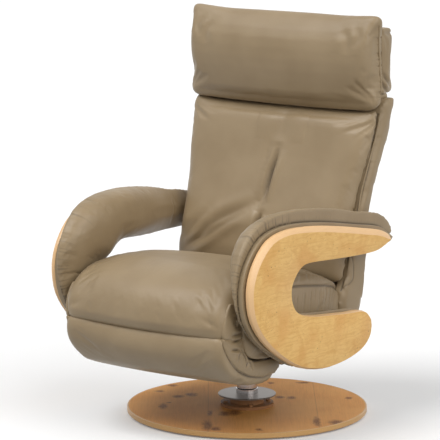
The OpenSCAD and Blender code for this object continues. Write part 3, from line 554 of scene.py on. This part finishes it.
def bent(tree, here, size, by):
    """Coordinates that wander by a given way, so that grain sways and knots lose their oval."""
    wobble = add(tree, "TexNoise", {"Vector": here, "Scale": 1 / size, "Detail": 3.0})["Color"]
    shift = add(tree, "VectorMath", (wobble, (0.5, 0.5, 0.5)), operation="SUBTRACT")[0]
    shift = add(tree, "VectorMath", {0: shift, "Scale": by}, operation="SCALE")[0]
    return add(tree, "VectorMath", (here, shift), operation="ADD")[0]


def dotted(tree, here, pitch, core, rim, group, detail, sparse, dense):
    """Dots at a pitch, from full at core to none at rim, where a coarser pattern is dense."""
    cells = add(tree, "TexVoronoi", {"Vector": here, "Scale": 1 / pitch})["Distance"]
    groups = add(tree, "TexNoise", {"Vector": here, "Scale": 1 / group, "Detail": detail})[0]
    dots = add(tree, "MapRange", (cells, core, rim, 1.0, 0.0))[0]
    there = add(tree, "MapRange", (groups, sparse, dense))[0]
    return add(tree, "Math", (dots, there), operation="MULTIPLY")[0]


def burr_veneer():
    """Burr veneer, lacquered: honey ground, swirled figure, pin knots, satin shine."""
    material, tree, shader, here = new_material("lacquered_burr_veneer", 0.42)
    shader.inputs["Specular IOR Level"].default_value = 0.35
    shader.inputs["Coat Weight"].default_value = 0.08
    shader.inputs["Coat Roughness"].default_value = 0.3
    swirl = add(tree, "TexNoise", {"Vector": here, "Scale": 1 / (46 * MM), "Detail": 4.0,
                                   "Distortion": 1.8})[0]
    clouds = add(tree, "TexNoise", {"Vector": here, "Scale": 1 / (90 * MM), "Detail": 2.0})[0]
    swayed = bent(tree, here, 90 * MM, 34 * MM)
    grain = long_grain(tree, swayed, "Y", 4.2 * MM, 130 * MM)
    fleck = long_grain(tree, swayed, "Y", 1.6 * MM, 14 * MM)
    # Burr dots, drawn at 2 mm so that they show, and pin knots of 2 to 3 mm in loose groups
    burrs = dotted(tree, here, 7 * MM, 0.1, 0.24, 80 * MM, 2.0, 0.46, 0.56)
    pins = dotted(tree, here, 15 * MM, 0.07, 0.15, 60 * MM, 1.0, 0.5, 0.58)
    figure = layered(tree, finish().burr,
                     (swirl, 0.45, 0.68, 0.4, finish().burr_dark),
                     (clouds, 0.52, 0.66, 0.5, srgb("D99C52")),
                     (grain, 0.45, 0.66, 0.5, finish().burr_dark),
                     (fleck, 0.62, 0.78, 0.3, srgb("9C6F38")),
                     (burrs, 0.0, 1.0, 0.45, srgb("A56A30")),
                     (pins, 0.0, 1.0, 0.75, srgb("7A4C24")))
    painted(tree, shader, figure, (grain, 0.1 * MM, 0.3))
    return material


def pale_beech(name, light, dark, along="Y"):
    """Solid beech, lacquered: pale, fine even grain with short rays, satin shine."""
    material, tree, shader, here = new_material(name, 0.4)
    shader.inputs["Coat Weight"].default_value = 0.12
    grain = long_grain(tree, here, along, 1.6 * MM, 50 * MM)
    rays = long_grain(tree, here, along, 0.8 * MM, 5 * MM)
    colour = layered(tree, light, (grain, 0.4, 0.7, 0.5, dark), (rays, 0.6, 0.75, 0.3, dark))
    painted(tree, shader, colour, (grain, 0.08 * MM, 0.3))
    return material


# The base board: its grain's turn in degrees, and its leaves' joints in mm across the grain
BOARD_TURN, BOARD_JOINTS = 36, (-110, 196)
# Its knots in mm: [across, along the grain, half width, half length]
KNOTS = [(-196, 96, 14, 16), (-158, 118, 15, 18), (-237, -22, 10, 30), (-224, 20, 5, 9),
         (-105, -105, 6, 26), (-113, -250, 11, 50), (-90, -286, 13, 20), (-62, -112, 15, 24),
         (-38, -98, 17, 34), (60, 4, 13, 32), (95, 85, 12, 14), (128, 78, 11, 18),
         (192, -203, 9, 46), (245, -214, 20, 24), (293, 76, 10, 12), (73, 262, 6, 12),
         (169, 268, 18, 9), (-252, 161, 12, 10), (-214, 232, 12, 12), (30, -296, 8, 12)]


def knotty_veneer():
    """Knotty beech veneer in three leaves, lacquered: warm brown, dark knots, satin shine."""
    material, tree, shader, here = new_material("lacquered_knotty_veneer", 0.5)
    shader.inputs["Specular IOR Level"].default_value = 0.06
    here = add(tree, "VectorRotate", {"Vector": here, "Angle": -math.radians(BOARD_TURN)},
               rotation_type="Z_AXIS")[0]
    grain = long_grain(tree, here, "Y", 3.0 * MM, 110 * MM)
    fine = long_grain(tree, here, "Y", 1.2 * MM, 30 * MM)
    clouds = add(tree, "TexNoise", {"Vector": here, "Scale": 1 / (120 * MM), "Detail": 2.0})[0]
    colour = layered(tree, finish().board,
                     (grain, 0.4, 0.7, 0.6, srgb("CF904F")),
                     (fine, 0.5, 0.75, 0.35, srgb("B57A42")),
                     (clouds, 0.4, 0.7, 0.5, srgb("EAB06C")))
    across = add(tree, "SeparateXYZ", (here,))[0]
    for joint in BOARD_JOINTS:
        away = add(tree, "Math", (across, joint * MM), operation="SUBTRACT")[0]
        away = add(tree, "Math", (away,), operation="ABSOLUTE")[0]
        colour = layered(tree, colour, (away, 1.8 * MM, 0.5 * MM, 0.24, finish().board_dark))
    swayed = bent(tree, here, 16 * MM, 22 * MM)
    knots = None
    for x, y, half_w, half_l in KNOTS:
        local = add(tree, "Mapping", {"Vector": swayed, "Location": (-x * MM, -y * MM, 0)})[0]
        squeezed = add(tree, "VectorMath", (local, (1 / (half_w * MM), 1 / (half_l * MM), 0)),
                       operation="MULTIPLY")[0]
        far = add(tree, "VectorMath", (squeezed,), operation="LENGTH")["Value"]
        one = add(tree, "MapRange", (far, 0.5, 1.5, 1.0, 0.0))[0]
        knots = one if knots is None else add(tree, "Math", (knots, one),
                                              operation="MAXIMUM")[0]
    core = add(tree, "MapRange", (fine, 0.3, 0.6, 0.55, 1.0))[0]
    core = add(tree, "Math", (knots, core), operation="MULTIPLY")[0]
    colour = layered(tree, colour, (core, 0.0, 1.0, 0.85, finish().board_dark))
    painted(tree, shader, colour, (grain, 0.08 * MM, 0.25))
    return material


def brushed_steel(name, colour, roughness, pitch):
    """Metal with the fine lines of its turning or brushing, which blur what it reflects."""
    material, tree, shader, here = new_material(name, roughness, 1.0)
    lines = long_grain(tree, here, "X", pitch, 40 * pitch)
    ground = srgb(colour)
    colour = layered(tree, ground, (lines, 0.3, 0.7, 0.25, [0.7 * c for c in ground]))
    painted(tree, shader, colour, (lines, 0.02 * MM, 0.3))
    return material


def dull(name, first, second, roughness, size, bump):
    """A coated or moulded surface with the unevenness of how it was made."""
    material, tree, shader, here = new_material(name, roughness)
    spots = add(tree, "TexNoise", {"Vector": here, "Scale": 1 / size, "Detail": 3.0})[0]
    colour = layered(tree, srgb(first), (spots, 0.35, 0.65, 1.0, srgb(second)))
    painted(tree, shader, colour, (spots, bump * MM, 0.5))
    return material


# A wave texture of scale 1 repeats at this distance
WAVE_PITCH = 6.28 / 20


def woven(name, first, second, pitch):
    """Plain woven band: threads over and under at the pitch."""
    material, tree, shader, here = new_material(name, 0.8)
    weft, warp = [add(tree, "TexWave", {"Vector": here, "Scale": WAVE_PITCH / pitch,
                                        "Distortion": 0.3}, bands_direction=way)["Fac"]
                  for way in ("X", "Z")]
    both = add(tree, "Math", (weft, warp), operation="MULTIPLY")[0]
    colour = layered(tree, srgb(first), (both, 0.0, 1.0, 1.0, srgb(second)))
    painted(tree, shader, colour, (both, 0.3 * MM, 0.5))
    return material


MATERIALS = {}


def make_materials():
    """One material for each slot of the record."""
    MATERIALS.update(
        leather=pigmented_cowhide(),
        arm_veneer=burr_veneer(),
        base_veneer=knotty_veneer(),
        # Edge of the base board, ironed on
        light_lipping=pale_beech("beech_edge_band", finish().board_edge, srgb("B98A52"), "X"),
        # Thick solid edge of the arm panels
        arm_edge=pale_beech("solid_beech_lipping", finish().lipping, srgb("DDB27E")),
        stainless=brushed_steel("turned_stainless_steel", "C4C0BF", 0.2, 0.4 * MM),
        # The cover plate: matter and darker than the tube
        blasted=brushed_steel("bead_blasted_steel", "817A74", 0.38, 0.6 * MM),
        zinc=brushed_steel("zinc_plated_steel", "B9BCC0", 0.35, 0.8 * MM),
        bronze=brushed_steel("sintered_bronze", "A9773F", 0.4, 0.5 * MM),
        # Powder coat: fine orange peel of about 1 mm
        dark_steel=dull("black_powder_coat", "1D1D1E", "262627", 0.45, 1.2 * MM, 0.05),
        brown_steel=dull("brown_powder_coat", "9A6C42", "8E623B", 0.6, 1.2 * MM, 0.05),
        black_paint=dull("black_enamel", "18181A", "202023", 0.35, 4 * MM, 0.02),
        black_plastic=dull("moulded_acetal", "1C1C1D", "232324", 0.5, 0.8 * MM, 0.04),
        black_rubber=dull("moulded_rubber", "151515", "1E1E1E", 0.8, 1.0 * MM, 0.08),
        plywood=pale_beech("beech_plywood", srgb("D2AC79"), srgb("B48A58"), "X"),
        webbing=woven("woven_elastic_webbing", "2B2A28", "55514A", 2.5 * MM),
        black_cloth=woven("spunbonded_cloth", "151515", "2A2A2A", 1.5 * MM),
    )


def finish_nodes(*names):
    """Gives CAD nodes that stay the material of their slot."""
    for name in names:
        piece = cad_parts[name]
        for i, slot in enumerate(piece.material_slots):
            key = slot.material.name.split(".")[0]
            if key in MATERIALS:
                piece.material_slots[i].material = MATERIALS[key]


# Base

BASE_NODES = ("floor_glides", "base_disc", "base_lipping", "base_counterplate", "base_flange",
              "base_bolts", "column_tube", "cover_plate", "column_collar", "thrust_washers",
              "column_retainer")


class RECLINER_OT_base(Operator):
    """Finishes the base board, its lipping, glides and column"""
    bl_idname = "recliner.base"
    bl_label = "Base"

    def execute(self, context):
        make_materials()
        finish_nodes(*BASE_NODES)
        for name in ("base_flange", "base_bolts"):
            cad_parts[name].material_slots[0].material = MATERIALS["brown_steel"]
        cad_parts["cover_plate"].material_slots[0].material = MATERIALS["blasted"]
        return {"FINISHED"}


class RECLINER_OT_frame(Operator):
    """Finishes the timber, steel and webbing inside the seat and back"""
    bl_idname = "recliner.frame"
    bl_label = "Frame"

    def execute(self, context):
        finish_nodes(*[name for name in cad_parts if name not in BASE_NODES])
        return {"FINISHED"}


# Arms: width over both at the reference y, and toe-in in degrees, as in the CAD model
ARM_W, ARM_TOE, ARM_REF_Y = 696, 2.5, -300
# Front, length, foot and height of the outline
ARM_FRONT, ARM_L, ARM_Z, ARM_H = -464, 658, 195, 406
# Inner face of the carrier board, from the arm's outer face
BOARD_X = -39
# Outer edge from the rear tip round the front: [y, z], as shares of length and height
OUTER = [(1.038, 0.758), (1.006, 0.788), (0.928, 0.850), (0.789, 0.892), (0.644, 0.936),
         (0.492, 0.975), (0.355, 0.997), (0.234, 0.997), (0.130, 0.955), (0.055, 0.850),
         (0.012, 0.727), (0.002, 0.598), (0.026, 0.443), (0.097, 0.296), (0.204, 0.165),
         (0.340, 0.052), (0.500, 0.000), (0.644, 0.010), (0.758, 0.054), (0.819, 0.123),
         (0.834, 0.197)]


def arm_local(x, y, z):
    """Points of the left arm in the arm's own place: x out of the board, without its toe-in."""
    turn = math.radians(ARM_TOE)
    x = x - ARM_W / 2
    y = y - ARM_REF_Y
    return np.stack([x * math.cos(turn) - y * math.sin(turn),
                     x * math.sin(turn) + y * math.cos(turn) + ARM_REF_Y, z], 1)


def arm_line(first, last, off, x):
    """Part of the arm's outer outline in mm, moved outwards, in the arm's own place."""
    keys = np.array([(ARM_FRONT + y * ARM_L, ARM_Z + z * ARM_H)
                     for y, z in OUTER[first:last]])
    run = np.gradient(keys, axis=0)
    out = np.stack([-run[:, 1], run[:, 0]], 1)
    out /= -np.linalg.norm(out, axis=1, keepdims=True)
    return [(x, y, z) for y, z in keys + off * out]


class RECLINER_OT_arm_panels(Operator):
    """Makes the veneered arm panels with their pale chamfered lipping"""
    bl_idname = "recliner.arm_panels"
    bl_label = "Arm panels"
    # A face that turns away from the panel's front by more than this cosine is lipping
    FLAT = 0.97

    def execute(self, context):
        turn = math.radians(ARM_TOE)
        for side, sign in (("left", 1), ("right", -1)):
            node = "arm_panel_" + side
            piece = eased(node, "veneered_arm_panel_" + side, 1.4, 2, 24, 40)
            dress(piece, "arm_veneer", "seat", node)
            piece.data.materials.append(MATERIALS["arm_edge"])
            out = Vector((sign * math.cos(turn), -math.sin(turn), 0))
            for face in piece.data.polygons:
                face.material_index = 0 if abs(face.normal.dot(out)) > self.FLAT else 1
        return {"FINISHED"}


class RECLINER_OT_arm_boards(Operator):
    """Wraps the carrier boards of the arms in leather"""
    bl_idname = "recliner.arm_boards"
    bl_label = "Arm carriers"

    def execute(self, context):
        for side in ("left", "right"):
            node = "arm_board_" + side
            piece = eased(node, "covered_arm_carrier_" + side, 3, 3, 50, 60)
            dress(piece, "leather", "seat", node)
        return {"FINISHED"}


class RECLINER_OT_arm_pads(Operator):
    """Makes the padded arms with the gathers along their border"""
    bl_idname = "recliner.arm_pads"
    bl_label = "Arm pads"

    def execute(self, context):
        piece = cad_copy("arm_pad_left", "arm_cushion_left")
        skin = pad_shell(piece, lambda x, y, z: arm_local(x, y, z)[:, 0] > BOARD_X - 3, 4 * MM)
        # Gathers where the pad is sewn to the carrier's edge, deep round the front and fine along
        # the top. They are drawn by painted shade alone, worked out in the arm's own place: the
        # cover then goes back to its form
        world = skin.at
        skin.at = arm_local(*world.T)
        skin.gathers(arm_line(6, 16, 9, BOARD_X - 5), cover().pleat / MM, 10.5, 21, 1.0,
                     dark=0.9, sharp=1.0)
        skin.gathers(arm_line(0, 8, 9, BOARD_X - 4), 10, 3.5, 9, 3.0, dark=0.7)
        # Painted shade where the leather dips behind the panel
        gap, _, _ = skin.near(rounded(arm_line(0, 17, 8, BOARD_X - 1)))
        skin.fold = np.maximum(skin.fold, 0.9 * np.exp(-(gap / 4.5) ** 2))
        skin.at = world
        skin.waves(60, 1.2, 2.0)
        skin.done()
        upholster_both(piece, "seat", 0.75, "arm_pad_")
        return {"FINISHED"}


class RECLINER_OT_seat_cushion(Operator):
    """Makes the crowned seat cushion with its front roll"""
    bl_idname = "recliner.seat_cushion"
    bl_label = "Seat cushion"
    # Half width, drop of the front roll's lip, and drop of the crown
    HALF, LIP, CROWN = 272, 34, 13

    def execute(self, context):
        piece = cad_copy("seat_cushion", "seat_cushion_cover")
        at = points_of(piece)
        # The front roll comes down to the footrest and meets it in a sewn groove
        x, y, z = at.T
        z -= self.LIP * gate(y, -436, -462) * gate(z, 374, 358)
        put_points(piece, at)
        skin = pad_shell(piece, lambda x, y, z: (z < 382) & (y > -425) | (z < 352))
        x, y, z = skin.at.T
        z -= self.CROWN * gate(z, 425, 495) * gate(y, -500, -240)
        skin.at[:, 0] = np.clip(x, -self.HALF, self.HALF)
        skin.waves(95, 1.6, 1.0)
        skin.done()
        upholster(piece, None, 0.8, "seat_cushion")
        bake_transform(piece)
        return {"FINISHED"}


class RECLINER_OT_seat_sides(Operator):
    """Makes the padded sides of the seat, with a sewn line and gathers below it"""
    bl_idname = "recliner.seat_sides"
    bl_label = "Seat sides"
    OUTLINE = ((-404, 330), (-401, 305), (-389, 272), (-352, 251), (-289, 243), (-228, 243),
               (-208, 240), (-193, 223), (-140, 210), (-66, 204), (60, 203), (100, 204),
               (114, 207), (116, 228), (112, 248), (74, 262), (60, 290), (58, 340), (52, 372),
               (36, 396), (1, 416), (-44, 434), (-93, 448), (-150, 456), (-260, 458),
               (-360, 448), (-410, 420), (-412, 372))
    SEAM = ((-380, 424), (-260, 424), (-166, 420), (-93, 410), (-27, 400), (18, 390), (50, 374))
    INNER_X, SEAM_X, THICK = 251, 276, 25

    def execute(self, context):
        piece = plate("seat_side_cover_left", rounded_loop(self.OUTLINE), self.INNER_X, self.THICK)
        skin = pad_shell(piece, lambda x, y, z: (x < 258) | (y > 20) | (z < 266), 5 * MM, 3)
        seam = [(self.SEAM_X, y, z) for y, z in self.SEAM]
        skin.gathers(seam, 22, 4.5, 60, 4.0, gate(skin.at[:, 2], 404, 384))
        skin.seam(seam, 3.0)
        skin.waves(70, 1.0, 5.0)
        skin.done()
        upholster_both(piece, "seat", 0.5, "seat_side_")
        return {"FINISHED"}


class RECLINER_OT_seat_gussets(Operator):
    """Makes the gathered gussets that close the ends of the seat's front roll"""
    bl_idname = "recliner.seat_gussets"
    bl_label = "Seat gussets"
    OUTLINE = ((-454, 418), (-467, 402), (-477, 384), (-483, 362), (-484, 341), (-482, 327),
               (-440, 318), (-396, 316), (-398, 340), (-402, 366), (-416, 392), (-440, 418))
    INNER_X, THICK = 258, 11
    CREASES = ((((-420, 348), (-417, 362), (-412, 384)), 4, 4, 0.8),
               (((-443, 368), (-446, 376), (-424, 378), (-408, 360)), 3.5, 4, 0.8),
               (((-456, 392), (-440, 366), (-424, 346)), 3, 6, 0.3),
               (((-455, 332), (-425, 330), (-400, 332)), 3.5, 5, 0.5))

    def execute(self, context):
        piece = plate("seat_gusset_left", self.OUTLINE, self.INNER_X, self.THICK)
        skin = pad_shell(piece, lambda x, y, z: x < 262, 3 * MM, 4)
        skin.side_creases(self.CREASES)
        skin.waves(34, 1.0, 7.0)
        skin.done()
        upholster_both(piece, "seat", 0.4)
        return {"FINISHED"}


class RECLINER_OT_footrest(Operator):
    """Makes the footrest pad that folds under the front roll"""
    bl_idname = "recliner.footrest"
    bl_label = "Footrest"
    SEAM = ((-484, 328), (-480, 304), (-453, 263), (-413, 228), (-358, 203), (-304, 190),
            (-252, 191))
    SEAM_X = 266
    OUTLINE = ((-485, 328), (-481, 304), (-470, 284), (-454, 264), (-414, 230), (-359, 205),
               (-304, 192), (-246, 192), (-224, 206), (-222, 230), (-290, 238), (-340, 241),
               (-366, 250), (-386, 274), (-394, 296), (-396, 318))
    INNER_X, THICK = 254, 14
    CREASES = ((((-405, 283), (-417, 275), (-418, 256)), 5, 3.6, 0.8),
               (((-402, 286), (-391, 267), (-380, 248)), 6, 3.6, 0.8),
               (((-388, 276), (-367, 257), (-356, 226)), 5, 3.6, 0.8),
               (((-376, 250), (-388, 234)), 3, 3.6, 0.8),
               (((-456, 294), (-432, 290), (-408, 286)), 4, 3.6, 0.8),
               (((-452, 316), (-426, 314), (-402, 316)), 4, 3.6, 0.8))

    def execute(self, context):
        piece = cad_copy("footrest_pad", "footrest_cover")
        skin = pad_shell(piece, lambda x, y, z: z > 312)
        for side in (1, -1):
            skin.seam([(side * self.SEAM_X, y, z) for y, z in self.SEAM], 1.6, 2.4)
        skin.waves(90, 1.5, 3.0)
        skin.done()
        upholster(piece, "footrest", 0.7, "footrest_pad")
        self.gussets()
        return {"FINISHED"}

    def gussets(self):
        """The gathered ends, which swing out with the footrest."""
        piece = plate("footrest_gusset_left", self.OUTLINE, self.INNER_X, self.THICK)
        skin = pad_shell(piece, lambda x, y, z: x < 260, 3 * MM, 9)
        skin.side_creases(self.CREASES)
        skin.waves(34, 1.0, 9.0)
        skin.done()
        upholster_both(piece, "footrest", 0.4)


class RECLINER_OT_back_cushion(Operator):
    """Makes the back cushion with its sewn fold and pull wrinkles"""
    bl_idname = "recliner.back_cushion"
    bl_label = "Back cushion"
    # Drop of the bottom, rise of the top and of its corners, and share that the top is wider
    DROP, RISE, CORNER, WIDER = 42, 16, 12, 0.04
    # The sewn fold, the hollow above it, and the wrinkles that pull towards the right hip
    CREASES = (
        (((30, 115, 747), (26, 104, 712), (20, 91, 675), (17, 77, 633), (15, 62, 591)), 11, 9, 0.8),
        (((16, 50, 565), (8, 42, 536), (4, 36, 516)), 9, 8, 0.7),
        (((23, 167, 846), (29, 143, 815), (28, 120, 760)), 5, 26, 0.0),
        (((-240, 40, 448), (-199, 33, 473), (-149, 37, 519), (-76, 48, 559), (-8, 60, 592)),
         7, 13, 0.15),
        (((-248, 46, 440), (-170, 32, 478), (-104, 38, 519), (-30, 50, 563)), 5, 10, 0.15),
        (((-263, 47, 459), (-213, 42, 511), (-158, 50, 556)), 4, 12, 0.1))

    def execute(self, context):
        piece = cad_copy("back_cushion", "back_cushion_cover")
        at = points_of(piece)
        x, y, z = at.T
        z -= self.DROP * gate(z, 520, 440)
        # The top comes up to the head section
        z += (self.RISE + self.CORNER * gate(abs(x), 230, 300)) * gate(z, 780, 830)
        x *= 1 + self.WIDER * gate(z, 600, 800)
        put_points(piece, at)
        skin = pad_shell(piece, lambda x, y, z: z > 838)
        skin.creases(self.CREASES)
        skin.waves(80, 1.8, 4.0)
        skin.done()
        upholster(piece, "back", 0.7, "back_cushion")
        return {"FINISHED"}


class RECLINER_OT_back_sides(Operator):
    """Makes the padded sides of the back"""
    bl_idname = "recliner.back_sides"
    bl_label = "Back sides"
    SEAM = ((300, 205, 850), (308, 174, 789), (303, 155, 705), (300, 130, 644), (296, 108, 599),
            (288, 80, 520), (284, 55, 464), (284, 40, 405), (284, 36, 383))
    LOW_SEAM = ((286, 36, 383), (286, 64, 384), (286, 84, 390), (286, 98, 402), (286, 99, 430),
                (286, 98, 470))
    PIPING = ((320, 180, 846), (318, 160, 789), (314, 140, 705), (306, 118, 644),
              (300, 97, 599), (292, 70, 520))

    def execute(self, context):
        piece = cad_copy("back_side_left", "back_side_cover_left")
        at = points_of(piece)
        x, y, z = at.T
        # Drawn back beside the seat, forward behind the head section, and out at the top
        y += 18 * gate(z, 470, 410) * gate(y, 80, 50)
        y -= 12 * gate(z, 790, 870) * gate(y, 225, 265)
        x += 6 * gate(z, 640, 800) * gate(x, 270, 300)
        put_points(piece, at)
        skin = pad_shell(piece, voxel=5 * MM)
        skin.seam(self.SEAM, 2.2)
        skin.seam(self.LOW_SEAM, 1.8, 2.6, 0.6)
        skin.waves(60, 1.0, 8.0)
        skin.done()
        upholster_both(piece, "back", 0.6, "back_side_")
        cord = piping("back_piping_left", self.PIPING, "back", skin)
        dress(mirrored(cord), "leather", "back")
        return {"FINISHED"}


class RECLINER_OT_rear_cover(Operator):
    """Makes the leather cover behind the back"""
    bl_idname = "recliner.rear_cover"
    bl_label = "Rear cover"

    def execute(self, context):
        piece = cad_copy("back_rear_cover", "back_rear_leather")
        pad_shell(piece, voxel=5 * MM, relax=3).done()
        upholster(piece, "back", 0.3, "back_rear_cover")
        return {"FINISHED"}


class RECLINER_OT_head(Operator):
    """Makes the head pad and the padding behind it"""
    bl_idname = "recliner.head"
    bl_label = "Head section"
    # How far the upper corners stand out and up and the lower ones out, and the front's draw-in
    CORNER, CORNER_UP, LOW_CORNER, DRAWN_IN = 16, 7, 8, 20
    # The left one of what both sides have
    EDGE = ((311, 200, 880), (311, 200, 940), (311, 200, 1000), (311, 200, 1060),
            (311, 200, 1096))
    CREASES = ((((222, 110, 1110), (244, 118, 1068), (240, 120, 1020)), 3.5, 13, 0.05),
               (((262, 130, 1112), (276, 130, 1078), (262, 126, 1040)), 3.5, 11, 0.05))
    PIPING = ((318, 199, 878), (320, 197, 936), (320, 194, 976), (320, 195, 1006),
              (320, 190, 1056), (316, 184, 1104))
    # Where the cover behind the board is drawn round the board's edge
    REAR_CREASES = ((((308, 206, 972), (310, 226, 950), (308, 250, 926)), 4, 5, 0.5),
                    (((308, 204, 946), (310, 222, 926), (306, 246, 906)), 4, 5, 0.5))
    REAR_TAKEN = 21

    def execute(self, context):
        piece = cad_copy("head_pad", "head_cushion_cover")
        at = points_of(piece)
        x, y, z = at.T
        # The cover's upper corners are nearly square
        end = gate(abs(x), 250, 308)
        corner = end * gate(z, 1080, 1127)
        low = end * gate(z, 940, 875)
        x += np.sign(x) * (self.CORNER * corner + self.LOW_CORNER * low)
        z += self.CORNER_UP * corner
        # Fullest a third of the way down, and drawn in above and below
        front = gate(y, 190, 130)
        y += self.DRAWN_IN * front * gate(z, 1030, 890)
        y += self.DRAWN_IN * front * gate(z, 1062, 1125)
        put_points(piece, at)
        skin = pad_shell(piece, lambda x, y, z: (y > 213) | (z < 886))
        for side in (1, -1):
            skin.gathers(on_side(side, self.EDGE), 21, 3.4, 26, 6.0 + side, dark=0.25)
            skin.creases(self.CREASES, side)
        skin.waves(110, 2.2, 6.0)
        skin.done()
        upholster(piece, "head", 0.8, "head_pad")
        self.rear()
        for side, hand in ((1, "left"), (-1, "right")):
            piping("head_piping_" + hand, on_side(side, self.PIPING), "head", skin)
        return {"FINISHED"}

    def rear(self):
        """The padding behind the board."""
        piece = cad_copy("head_rear_pad", "head_rear_cover")
        at = points_of(piece)
        at[:, 1] -= self.REAR_TAKEN * gate(at[:, 1], 242, 236)
        put_points(piece, at)
        skin = pad_shell(piece, lambda x, y, z: y < 222, 5 * MM)
        for side in (1, -1):
            skin.creases(self.REAR_CREASES, side)
        skin.waves(80, 1.4, 5.0)
        skin.done()
        upholster(piece, "head", 0.6, "head_rear_pad")


class RECLINER_OT_neck(Operator):
    """Makes the soft leather fold that closes the gap under the head section"""
    bl_idname = "recliner.neck"
    bl_label = "Neck fold"
    OUTLINE = ((204, 838), (205, 864), (209, 892), (221, 906), (248, 909), (258, 893), (260, 862),
               (254, 836), (236, 822), (212, 822))
    HALF = 301

    def execute(self, context):
        piece = plate("neck_fold", rounded_loop(self.OUTLINE), -self.HALF, 2 * self.HALF)
        skin = pad_shell(piece)
        for level, depth in ((866, 6), (888, 7)):
            skin.crease([(-306, 232, level), (-290, 268, level), (0, 272, level + 4),
                         (290, 268, level), (306, 232, level)], depth, 7, 0.5)
            for side in (1, -1):
                skin.crease(on_side(side, [(self.HALF, 180, level - 4), (self.HALF, 216, level + 2),
                                           (self.HALF, 256, level)]), 4, 6, 0.4)
        skin.waves(60, 1.6, 2.0)
        skin.done()
        upholster(piece, None, 0.3)
        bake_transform(piece)
        return {"FINISHED"}


# Stage: the camera stands where the photograph was taken

CAMERA_AT = (4.744, -6.707, 2.007)
CAMERA_TURN, CAMERA_DROP, LENS = 35.807, 10.05, 243.1
FLOOR_SIZE, VIEW_END = 80, 200
# Brightness of floor and room where they only light the chair, and where they are seen
FLOOR_LIT, FLOOR_SEEN, FLOOR_GLOW = 0.4, 0.86, 0.12
ROOM_LIT, ROOM_SEEN = 0.36, 1.0
# Lamps: [name, power, spread in degrees, turn in degrees]
LAMPS = (("key", 1.75, 35, (34, 0, -28)), ("fill", 1.7, 60, (55, 0, 75)))


class RECLINER_OT_stage(Operator):
    """Sets the pale floor, the soft light and the camera"""
    bl_idname = "recliner.stage"
    bl_label = "Stage"

    def execute(self, context):
        scene = context.scene
        scene.view_settings.view_transform = "Standard"
        deselect()
        bpy.ops.mesh.primitive_plane_add(size=FLOOR_SIZE)
        floor = context.active_object
        floor.name = "studio_floor"
        edit_all(floor)
        bpy.ops.mesh.subdivide(number_cuts=3)
        object_mode()
        floor.data.materials.append(self.floor_paint())
        for name, power, spread, turn in LAMPS:
            bpy.ops.object.light_add(type="SUN", rotation=[math.radians(v) for v in turn])
            sun = context.active_object
            sun.name = name + "_light"
            sun.data.energy = power
            sun.data.angle = math.radians(spread)
        self.sky(scene)
        deselect()
        bpy.ops.object.camera_add(location=CAMERA_AT, rotation=(
            math.radians(90 - CAMERA_DROP), 0, math.radians(CAMERA_TURN)))
        camera = context.active_object
        camera.data.lens = LENS
        camera.data.clip_end = VIEW_END
        scene.camera = camera
        return {"FINISHED"}

    def floor_paint(self):
        """Matt white paint, which the camera sees a little brighter than it is lit."""
        material = bpy.data.materials.new("matt_white_floor_paint")
        material.use_nodes = True
        tree = material.node_tree
        tree.nodes.clear()
        seen = self.seen(tree)
        shade = add(tree, "MapRange", (seen, 0, 1, FLOOR_LIT, FLOOR_SEEN))[0]
        paint = add(tree, "BsdfDiffuse", {"Color": shade})[0]
        glow = add(tree, "MapRange", (seen, 0, 1, 0, FLOOR_GLOW))[0]
        glow = add(tree, "Emission", {"Strength": glow})[0]
        both = add(tree, "AddShader", (paint, glow))[0]
        add(tree, "OutputMaterial", {"Surface": both})
        return material

    def seen(self, tree):
        """One for the rays of the camera and for what gloss and glass show."""
        ray = add(tree, "LightPath")
        seen = add(tree, "Math", (ray["Is Camera Ray"], ray["Is Glossy Ray"]),
                   operation="MAXIMUM")[0]
        return add(tree, "Math", (seen, ray["Is Transmission Ray"]), operation="MAXIMUM")[0]

    def sky(self, scene):
        """Even soft light; camera, glossy and clear rays see a white room."""
        scene.world = scene.world or bpy.data.worlds.new("studio")
        scene.world.use_nodes = True
        tree = scene.world.node_tree
        tree.nodes.clear()
        strength = add(tree, "MapRange", (self.seen(tree), 0, 1, ROOM_LIT, ROOM_SEEN))[0]
        back = add(tree, "Background", {"Color": (1, 1, 1, 1), "Strength": strength})[0]
        add(tree, "OutputWorld", {"Surface": back})


OPERATORS = (RECLINER_OT_base, RECLINER_OT_frame, RECLINER_OT_arm_panels,
             RECLINER_OT_arm_boards, RECLINER_OT_arm_pads, RECLINER_OT_seat_cushion,
             RECLINER_OT_seat_sides, RECLINER_OT_seat_gussets, RECLINER_OT_footrest,
             RECLINER_OT_back_cushion, RECLINER_OT_back_sides, RECLINER_OT_rear_cover,
             RECLINER_OT_head, RECLINER_OT_neck, RECLINER_OT_stage)


class RECLINER_PT_pieces(Panel):
    """Lists the recliner's pieces, colours and sizes."""
    bl_label = "Recliner"
    bl_space_type = "VIEW_3D"
    bl_region_type = "UI"
    bl_category = "Recliner"

    def draw(self, context):
        column = self.layout.column()
        for group in (context.scene.recliner_finish, context.scene.recliner_cover):
            for name in group.__annotations__:
                column.prop(group, name)
        for operator in OPERATORS:
            column.operator(operator.bl_idname)


CLASSES = (ReclinerFinish, ReclinerCover, *OPERATORS, RECLINER_PT_pieces)


def register():
    for made in CLASSES:
        bpy.utils.register_class(made)
    bpy.types.Scene.recliner_finish = PointerProperty(type=ReclinerFinish)
    bpy.types.Scene.recliner_cover = PointerProperty(type=ReclinerCover)


def unregister():
    del bpy.types.Scene.recliner_cover
    del bpy.types.Scene.recliner_finish
    for made in reversed(CLASSES):
        bpy.utils.unregister_class(made)


def main():
    register()
    for operator in OPERATORS:
        group, name = operator.bl_idname.split(".")
        getattr(getattr(bpy.ops, group), name)()


if __name__ == "__main__":
    main()
